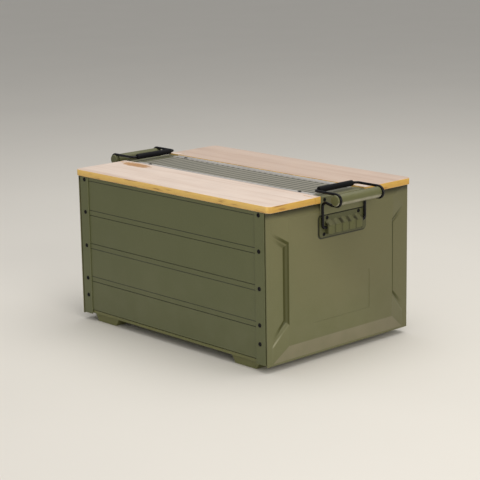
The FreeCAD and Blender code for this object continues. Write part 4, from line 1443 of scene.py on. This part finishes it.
@dataclass
class Trees:
    """The Geometry Nodes trees, each built once."""

    screws: Tree = field(init=False)
    wire: Tree = field(init=False)
    ribs: Tree = field(init=False)

    def __post_init__(self) -> None:
        """Build all the trees."""
        self.screws = self.build_screws()
        self.wire = self.build_wire()
        self.ribs = self.build_ribs()

    def build_screws(self) -> Tree:
        """Button-head screws with a hexagon socket, one on each seat.

        Returns:
            The tree.
        """
        sizes = (
            "Head Radius", "Head Height", "Socket Radius", "Socket Depth", "Shank Radius", "Shank Length"
        )
        graph, take, give = geometry_group(
            "button_head_screws", {**dict.fromkeys(sizes, FLOAT), "Facing": VECTOR}
        )
        radius, height, socket_radius, socket_depth, shank_radius, shank_length = (
            take.outputs[size] for size in sizes
        )
        ball = graph.add("GeometryNodeMeshUVSphere", {"Segments": 32, "Rings": 20, "Radius": radius})
        ratio = graph.ratio(height, radius)
        dome = moved(graph, ball.outputs["Mesh"], Scale=graph.combine(1.0, 1.0, ratio))
        wide = graph.times(radius, 4.0)
        deep = graph.times(height, 2.0)
        under = graph.add("GeometryNodeMeshCube", {"Size": graph.combine(wide, wide, deep)})
        below = graph.combine(0.0, 0.0, graph.times(height, -1.0))
        cutter = moved(graph, under.outputs["Mesh"], Translation=below)
        hexagon = graph.add(
            "GeometryNodeMeshCylinder",
            {"Vertices": 6, "Radius": socket_radius, "Depth": graph.times(socket_depth, 2.0)},
        )
        socket = moved(graph, hexagon.outputs["Mesh"], Translation=graph.combine(0.0, 0.0, height))
        head = graph.add("GeometryNodeMeshBoolean", {"Mesh 1": dome}, operation="DIFFERENCE")
        graph.tree.links.new(cutter, head.inputs["Mesh 2"])
        graph.tree.links.new(socket, head.inputs["Mesh 2"])
        rod = graph.add(
            "GeometryNodeMeshCylinder", {"Vertices": 16, "Radius": shank_radius, "Depth": shank_length}
        )
        sunk = graph.combine(0.0, 0.0, graph.times(shank_length, -0.5))
        shank = moved(graph, rod.outputs["Mesh"], Translation=sunk)
        turn = graph.add("FunctionNodeAlignRotationToVector", {"Vector": take.outputs["Facing"]}, axis="Z")
        placed = graph.add(
            "GeometryNodeInstanceOnPoints",
            {
                "Points": take.outputs["Seats"],
                "Instance": joined(graph, head.outputs["Mesh"], shank),
                "Rotation": turn.outputs["Rotation"],
            },
        )
        return close_geometry(graph, take, give, placed.outputs["Instances"])

    def build_wire(self) -> Tree:
        """Round wire along a line of corners, each bent at its own radius.

        Returns:
            The tree.
        """
        graph, take, give = geometry_group("bent_wire", {"Wire Radius": FLOAT})
        line = graph.add("GeometryNodeMeshToCurve", {"Mesh": take.outputs["Seats"]})
        bend = graph.add("GeometryNodeInputNamedAttribute", {"Name": "bend"}, data_type="FLOAT")
        path = graph.add(
            "GeometryNodeFilletCurve",
            {
                "Curve": line.outputs["Curve"],
                "Count": 12,
                "Radius": bend.outputs["Attribute"],
                "Limit Radius": True,
            },
            mode="POLY",
        )
        ring = graph.add(
            "GeometryNodeCurvePrimitiveCircle", {"Resolution": 24, "Radius": take.outputs["Wire Radius"]}
        )
        tube = graph.add(
            "GeometryNodeCurveToMesh",
            {"Curve": path.outputs["Curve"], "Profile Curve": ring.outputs["Curve"], "Fill Caps": True},
        )
        return close_geometry(graph, take, give, tube.outputs["Mesh"])

    def build_ribs(self) -> Tree:
        """A sheet with rounded ribs across it, one on each seat.

        Returns:
            The tree.
        """
        graph, take, give = geometry_group(
            "ribbed_sheet",
            {"Sheet Size": VECTOR, "Sheet Middle": VECTOR, "Rib Width": FLOAT, "Rib Height": FLOAT},
        )
        plate = graph.add("GeometryNodeMeshCube", {"Size": take.outputs["Sheet Size"]})
        sheet = moved(graph, plate.outputs["Mesh"], Translation=take.outputs["Sheet Middle"])
        length = graph.separate(take.outputs["Sheet Size"])[1]
        half = graph.times(take.outputs["Rib Width"], 0.5)
        bar = graph.add("GeometryNodeMeshCylinder", {"Vertices": 24, "Radius": half, "Depth": length})
        laid = moved(graph, bar.outputs["Mesh"], Rotation=(math.pi / 2, 0.0, 0.0))
        ratio = graph.ratio(take.outputs["Rib Height"], half)
        rib = moved(graph, laid, Scale=graph.combine(1.0, 1.0, ratio))
        placed = graph.add(
            "GeometryNodeInstanceOnPoints", {"Points": take.outputs["Seats"], "Instance": rib}
        )
        return close_geometry(graph, take, give, joined(graph, sheet, placed.outputs["Instances"]))


def grown(
    name: str,
    tree: Tree,
    seats: Sequence[Vector],
    sizes: dict[str, Feed],
    finish: bpy.types.Material,
    bends: Sequence[float] = (),
) -> bpy.types.Object:
    """A piece made by a Geometry Nodes tree, as a plain mesh.

    Args:
        name: The piece's name.
        tree: The tree.
        seats: The points that it grows from, joined into a line where bends are given.
        sizes: The tree's sizes, by name.
        finish: The piece's material.
        bends: The bend radius at each point.

    Returns:
        The piece.
    """
    points = bpy.data.meshes.new(f"{name}_seats")
    lines = [(i, i + 1) for i in range(len(seats) - 1)] if bends else []
    points.from_pydata([tuple(seat) for seat in seats], lines, [])
    if bends:
        points.attributes.new("bend", "FLOAT", "POINT").data.foreach_set("value", list(bends))
    host = bpy.data.objects.new(f"{name}_host", points)
    bpy.context.scene.collection.objects.link(host)
    modifier = host.modifiers.new("grow", "NODES")
    modifier.node_group = tree
    values = {**sizes, "Finish": finish}
    for item in tree.interface.items_tree:
        if item.in_out == "INPUT" and item.name in values:
            modifier[item.identifier] = values[item.name]
    depsgraph = bpy.context.evaluated_depsgraph_get()
    mesh = bpy.data.meshes.new_from_object(host.evaluated_get(depsgraph), depsgraph=depsgraph)
    host.modifiers.remove(modifier)
    bpy.data.objects.remove(host)
    mesh.name = name
    return show(name, mesh)


# Sub-assemblies


@dataclass
class Shop:
    """What every sub-assembly works with: finishes, trees and the screws' proportions."""

    effects: Effects
    trees: Trees
    socket_share: float = 0.5
    socket_depth_share: float = 0.55
    shank_share: float = 0.55
    materials: dict[str, bpy.types.Material] = field(default_factory=dict)

    def finish(self, word: str) -> bpy.types.Material:
        """The material of a finish, built when it is first asked for.

        Args:
            word: The finish's key.

        Returns:
            The material.
        """
        if word not in self.materials:
            self.materials[word] = FINISHES[word].material(self.effects)
        return self.materials[word]

    def settle(self, piece: bpy.types.Object, node: str, slot: Slot) -> None:
        """Let a piece stand for a node, on the node's body.

        Args:
            piece: The new piece.
            node: The node that it stands for.
            slot: The record's slot; not used.
        """
        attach(piece, frame["nodes"][node]["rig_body"])
        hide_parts(node)
        log.info("%s stands for %s", piece.name, node)

    def dress(self, node: str, word: str) -> None:
        """Give a node that stays as it is a finish.

        Args:
            node: The node's name.
            word: The finish's key.
        """
        slots = frame["nodes"][node].data.materials
        slots.clear()
        slots.append(self.finish(word))
        log.info("%s is dressed as %s", node, word)

    def soften(
        self, node: str, roundings: Sequence[Rounding], word: str, slot: Slot, seamed: bool = False
    ) -> None:
        """Show a node with rounded edges.

        Args:
            node: The node's name.
            roundings: The rounds to make.
            word: The finish's key.
            slot: The record's slot.
            seamed: Whether its slanting faces take painted shade, as at a seam.
        """
        mesh = softened(node, roundings, seamed)
        mesh.materials.clear()
        mesh.materials.append(self.finish(word))
        piece = show(f"{node}_skin", mesh)
        weighted = piece.modifiers.new("even_flats", "WEIGHTED_NORMAL")
        weighted.keep_sharp = True
        self.settle(piece, node, slot)

    def turn(self, name: str, node: str, middle: Vector, profile: Profile, word: str, slot: Slot) -> None:
        """Show a round node as a lathe-turned piece.

        Args:
            name: The piece's name.
            node: The node that it stands for.
            middle: A point on its axis.
            profile: Its closed profile.
            word: The finish's key.
            slot: The record's slot.
        """
        mesh = lathe(name, middle, profile)
        mesh.materials.append(self.finish(word))
        self.settle(show(name, mesh), node, slot)

    def screw_row(self, node: str, facing: Facing, shank: float) -> None:
        """Show a node of screws with round heads and sockets.

        Args:
            node: The node's name.
            facing: The way that the heads point.
            shank: The shank's length.
        """
        way = facing.vector()
        boxes = solids(node)
        long = max(range(3), key=lambda i: abs(way[i]))
        wide = [boxes[0].size()[i] for i in range(3) if i != long]
        radius = max(wide) / 2
        height = boxes[0].size()[long] - shank
        seats = []
        for box in boxes:
            seat = box.middle()
            seat += way * (box.reach(way) - height - seat.dot(way))
            seats.append(seat)
        sizes = {
            "Head Radius": radius,
            "Head Height": height,
            "Socket Radius": radius * self.socket_share,
            "Socket Depth": height * self.socket_depth_share,
            "Shank Radius": radius * self.shank_share,
            "Shank Length": shank,
            "Facing": tuple(way),
        }
        piece = grown(f"{node}_heads", self.trees.screws, seats, sizes, self.finish("screw"))
        self.settle(piece, node, Slot.SCREWS)


@dataclass
class Carcass:
    """The tray, its feet and fold fittings, and the stamped ends."""

    shop: Shop
    foot_shank: float = 9 * MM

    def build(self) -> None:
        """Dress every piece of the carcass."""
        self.shop.soften("base_tray", SHEET_EDGES, "foot", Slot.OLIVE)
        for side in Side:
            for end in End:
                self.shop.soften(f"{side.word()}_{end.word()}_foot", SHEET_EDGES, "foot", Slot.FEET)
            for fitting in ("fold_rod", "fold_lugs"):
                self.shop.dress(f"{side.word()}_{fitting}", "fitting")
        for end in End:
            self.shop.soften(f"{end.word()}_end_panel", STAMPED_EDGES, "end", Slot.OLIVE)
        self.shop.screw_row("foot_screws", Facing.UP, self.foot_shank)


@dataclass
class LongSide:
    """One long side: four slats between two posts, fixed with screws."""

    shop: Shop
    side: Side
    slats: int = 4
    screw_shank: float = 7 * MM

    def build(self) -> None:
        """Dress every piece of the side."""
        word = self.side.word()
        for count in range(1, self.slats + 1):
            self.shop.soften(f"{word}_slat_{count}", FINE_EDGES, "side", Slot.OLIVE, True)
        for end in End:
            self.shop.soften(f"{word}_{end.word()}_post", SHEET_EDGES, "side", Slot.OLIVE)
        self.shop.dress(f"{word}_fold_leaf", "fitting")
        self.shop.screw_row(f"{word}_post_screws", self.side.facing(), self.screw_shank)


@dataclass
class Lid:
    """The lid: boards on hinges at both sides of a ribbed strip between rails."""

    shop: Shop
    rib_pitch: float = RIB_PITCH
    rib_width: float = 7.6 * MM
    rib_height: float = 0.9 * MM
    screw_shank: float = 7 * MM

    def build(self) -> None:
        """Dress every piece of the lid."""
        for side in Side:
            word = side.word()
            self.shop.soften(f"{word}_board", (), self.board_finish(side), Slot.BAMBOO)
            self.shop.dress(f"{word}_board_leaf", "rail")
            self.shop.dress(f"{word}_board_rod", "rail")
            self.shop.soften(f"{word}_rail", FINE_EDGES, "rail", Slot.RAIL)
        for end in End:
            word = end.word()
            self.shop.soften(f"{word}_lid_blocks", SHEET_EDGES, "bamboo", Slot.BAMBOO)
            self.shop.soften(f"{word}_lid_bracket", SHEET_EDGES, "bracket", Slot.OLIVE)
            self.shop.screw_row(f"{word}_bracket_screws", end.facing(), self.screw_shank)
        self.shop.dress("lid_beam", "tread")
        self.shop.screw_row("rail_screws", Facing.UP, self.screw_shank)
        self.tread()

    @staticmethod
    def board_finish(side: Side) -> str:
        """The finish of a board: the back one takes a darker copy of the same bamboo, as painted shade."""
        return "darker_bamboo" if side is Side.BACK else "bamboo"

    def tread(self) -> None:
        """The ribbed sheet in the middle of the lid."""
        box = node_box("lid_tread")
        size, middle = box.size(), box.middle()
        sheet = size - Vector((0.0, 0.0, self.rib_height))
        steps = int((size.x - self.rib_width) / self.rib_pitch)
        top = box.high.z - self.rib_height
        seats = [Vector(((i - steps / 2) * self.rib_pitch, middle.y, top)) for i in range(steps + 1)]
        sizes = {
            "Sheet Size": tuple(sheet),
            "Sheet Middle": tuple(middle - Vector((0.0, 0.0, self.rib_height / 2))),
            "Rib Width": self.rib_width,
            "Rib Height": self.rib_height,
        }
        piece = grown("lid_tread_ribs", self.shop.trees.ribs, seats, sizes, self.shop.finish("tread"))
        self.shop.settle(piece, "lid_tread", Slot.TREAD)


@dataclass
class Latch:
    """The plate and fluted block on one end, with their screws."""

    shop: Shop
    end: End
    screw_shank: float = 2 * MM

    def build(self) -> None:
        """Dress every piece of the latch."""
        word = self.end.word()
        self.shop.soften(f"{word}_latch_plate", SHEET_EDGES, "latch", Slot.OLIVE)
        self.shop.soften(f"{word}_latch_block", FINE_EDGES, "flutes", Slot.OLIVE)
        self.shop.screw_row(f"{word}_latch_screws", self.end.facing(), self.screw_shank)


@dataclass
class Handle:
    """One wire handle, with its carrying tube, end caps and rubber grip.

    Its legs stand leg_out from the back of the latch plate and turn pivot_rise above the plate's lower edge.
    """

    shop: Shop
    end: End
    wire_radius: float = 2.5 * MM
    leg_out: float = 5.0 * MM
    pivot_rise: float = 18 * MM
    stub: float = 14 * MM
    leg_rise: float = 4.5 * MM
    leg_run: float = 22 * MM
    bends: tuple[float, ...] = (0.0, 6 * MM, 8 * MM, 10 * MM, 10.5 * MM, 10.5 * MM, 8 * MM)
    tube_bore: float = 6.1 * MM
    tube_round: float = 0.8 * MM
    cap_round: float = 1.6 * MM
    neck_radius: float = 7.8 * MM
    spigot: float = 8 * MM
    spigot_gap: float = 0.05 * MM
    cap_lip: float = 2.72 * MM
    grip_round: float = 1.8 * MM

    def node(self, piece: str) -> str:
        """The name of a node of this handle."""
        return f"{self.end.word()}_handle_{piece}"

    def build(self) -> None:
        """Dress every piece of the handle."""
        self.wire()
        self.sleeve("turned_tube", "tube", self.tube_round, self.tube_bore, "tube", Slot.TUBE)
        self.caps()
        self.sleeve("rubber_sleeve", "grip", self.grip_round, self.wire_radius, "rubber", Slot.RUBBER)

    def wire(self) -> None:
        """The bent wire, from the stub in one end of the latch block to the other."""
        sign = self.end.value
        box = node_box(self.node("wire"))
        plate = node_box(f"{self.end.word()}_latch_plate")
        way = self.end.facing().vector()
        foot = plate.reach(way) - plate.size().x
        outer = box.reach(way) - self.wire_radius
        inner = -box.reach(-way) + self.wire_radius
        leg_x = foot + self.leg_out
        half = box.high.y - self.wire_radius
        low = node_box(self.node("tube")).middle().z * 2 - (box.high.z - self.wire_radius)
        high = box.high.z - self.wire_radius
        pivot_z = plate.low.z + self.pivot_rise
        corners = [
            (leg_x, half - self.stub, pivot_z),
            (leg_x, half, pivot_z),
            (leg_x, half, low + self.leg_rise),
            (leg_x + self.leg_run, half, low),
            (outer, half, low),
            (outer, half, high),
            (inner, half, high),
        ]
        far = [Vector((x * sign, y, z)) for x, y, z in corners]
        near = [Vector((spot.x, -spot.y, spot.z)) for spot in reversed(far)]
        bends = [*self.bends, *reversed(self.bends)]
        piece = grown(
            self.node("bent_wire"),
            self.shop.trees.wire,
            far + near,
            {"Wire Radius": self.wire_radius},
            self.shop.finish("wire"),
            bends,
        )
        self.shop.settle(piece, self.node("wire"), Slot.WIRE)

    def sleeve(self, name: str, piece: str, turn: float, bore: float, word: str, slot: Slot) -> None:
        """Show the tube or the grip as a round sleeve with rounded ends.

        Args:
            name: The new piece's name within the handle.
            piece: The node's name within the handle.
            turn: The radius of the rounded ends.
            bore: The radius of the hole.
            word: The finish's key.
            slot: The record's slot.
        """
        box = node_box(self.node(piece))
        half, radius = box.size().y / 2, box.size().z / 2
        right = corner_arc(half, radius, turn)
        left = [(-along, around) for along, around in reversed(right)]
        profile = [*left, *right, (half, bore), (-half, bore)]
        self.shop.turn(self.node(name), self.node(piece), box.middle(), profile, word, slot)

    def caps(self) -> None:
        """The two caps, each with a neck that the wire runs round."""
        box = node_box(self.node("tube_caps"))
        tube = node_box(self.node("tube")).size()
        half, radius = box.size().y / 2, box.size().z / 2
        groove_start = tube.y / 2
        groove_end = half - self.cap_lip
        face = corner_arc(half, radius, self.cap_round)
        profile = [
            (groove_start - self.spigot, 0.0),
            (groove_start - self.spigot, self.tube_bore - self.spigot_gap),
            (groove_start, self.tube_bore - self.spigot_gap),
            (groove_start, self.neck_radius),
            (groove_end, self.neck_radius),
            (groove_end, radius),
            *face,
            (half, 0.0),
        ]
        shape = bmesh.new()
        for way in (1, -1):
            turned = [(along * way, around) for along, around in profile]
            mesh = lathe("cap", box.middle(), turned)
            shape.from_mesh(mesh)
            bpy.data.meshes.remove(mesh)
        mesh = finished_mesh(shape, self.node("turned_caps"))
        mesh.materials.append(self.shop.finish("tube"))
        piece = show(self.node("turned_caps"), mesh)
        self.shop.settle(piece, self.node("tube_caps"), Slot.TUBE)


# Studio


@dataclass(frozen=True)
class Softbox:
    """A square area light that looks at the box."""

    name: str
    place: tuple[float, float, float]
    side: float
    power: float
    colour: Colour = (1.0, 1.0, 1.0)

    def build(self, target: Vector) -> None:
        """Add the light.

        Args:
            target: Where it looks.
        """
        lamp = bpy.data.lights.new(self.name, "AREA")
        lamp.shape = "SQUARE"
        lamp.size = self.side
        lamp.energy = self.power
        lamp.color = self.colour
        holder = bpy.data.objects.new(self.name, lamp)
        holder.location = self.place
        holder.rotation_euler = (target - holder.location).to_track_quat("-Z", "Y").to_euler()
        bpy.context.scene.collection.objects.link(holder)


@dataclass
class Studio:
    """Pale floor, soft light and the camera, with angles in degrees and the lens in millimetres."""

    azimuth: float = 47.20
    elevation: float = 12.97
    roll: float = -0.95
    distance: float = 3.0384
    target: tuple[float, float, float] = (-0.0008, 0.0, 0.1708)
    lens: float = 117.5
    sensor: float = 36.0
    view_end: float = 100.0
    floor_side: float = 40.0
    floor_colour: Colour = (0.74, 0.71, 0.65)
    floor_mottle: float = 0.96
    floor_roughness: float = 0.85
    sky_colour: Colour = (1.0, 1.0, 1.0)
    sky_strength: float = 0.42
    boxes: tuple[Softbox, ...] = (
        Softbox("overhead_softbox", (0.2, 0.3, 2.6), 2.4, 46.0, (1.0, 0.98, 0.96)),
        Softbox("end_softbox", (2.6, -0.9, 1.1), 1.6, 33.0, (1.0, 0.96, 0.90)),
        Softbox("front_softbox", (-0.5, -2.8, 0.8), 1.6, 5.0),
    )

    def build(self) -> None:
        """Set up floor, light and camera."""
        self.floor()
        self.light()
        self.camera()

    def floor(self) -> None:
        """A plain pale floor."""
        half = self.floor_side / 2
        mesh = bpy.data.meshes.new("floor")
        corners = [(-half, -half, 0.0), (half, -half, 0.0), (half, half, 0.0), (-half, half, 0.0)]
        mesh.from_pydata(corners, [], [(0, 1, 2, 3)])
        material, graph, shader, at = start_material("pale_floor")
        grain = graph.noise(at.outputs["Object"], 3.0, 3.0)
        darker = tuple(part * self.floor_mottle for part in self.floor_colour)
        graph.feed(shader.inputs["Base Color"], graph.mix(grain, opaque(self.floor_colour), opaque(darker)))
        shader.inputs["Roughness"].default_value = self.floor_roughness
        mesh.materials.append(material)
        floor = bpy.data.objects.new("floor", mesh)
        bpy.context.scene.collection.objects.link(floor)

    def light(self) -> None:
        """Even light all round, and the softboxes."""
        world = bpy.data.worlds.new("soft_sky")
        world.use_nodes = True
        sky = world.node_tree.nodes["Background"]
        sky.inputs["Color"].default_value = opaque(self.sky_colour)
        sky.inputs["Strength"].default_value = self.sky_strength
        bpy.context.scene.world = world
        bpy.context.scene.view_settings.view_transform = "Standard"
        for box in self.boxes:
            box.build(Vector(self.target))

    def camera(self) -> None:
        """The camera, at the photograph's angle."""
        a, e, r = (math.radians(angle) for angle in (self.azimuth, self.elevation, self.roll))
        back = Vector((math.sin(a) * math.cos(e), -math.cos(a) * math.cos(e), math.sin(e)))
        level = Vector((math.cos(a), math.sin(a), 0.0))
        steep = back.cross(level)
        right = level * math.cos(r) + steep * math.sin(r)
        up = steep * math.cos(r) - level * math.sin(r)
        lens = bpy.data.cameras.new("photo_camera")
        lens.lens = self.lens
        lens.sensor_width = self.sensor
        lens.clip_end = self.view_end
        camera = bpy.data.objects.new("photo_camera", lens)
        place = Vector(self.target) + back * self.distance
        camera.matrix_world = Matrix.Translation(place) @ Matrix((right, up, back)).transposed().to_4x4()
        bpy.context.scene.collection.objects.link(camera)
        bpy.context.scene.camera = camera


def main() -> None:
    """Dress the box and set up the studio."""
    logging.basicConfig(level=logging.INFO, format="%(message)s")
    shop = Shop(Effects(), Trees())
    parts: list[Carcass | LongSide | Lid | Latch | Handle] = [Carcass(shop)]
    parts += [LongSide(shop, side) for side in Side]
    parts.append(Lid(shop))
    parts += [Latch(shop, end) for end in End]
    parts += [Handle(shop, end) for end in End]
    for part in parts:
        part.build()
    Studio().build()


if __name__ == "__main__":
    main()
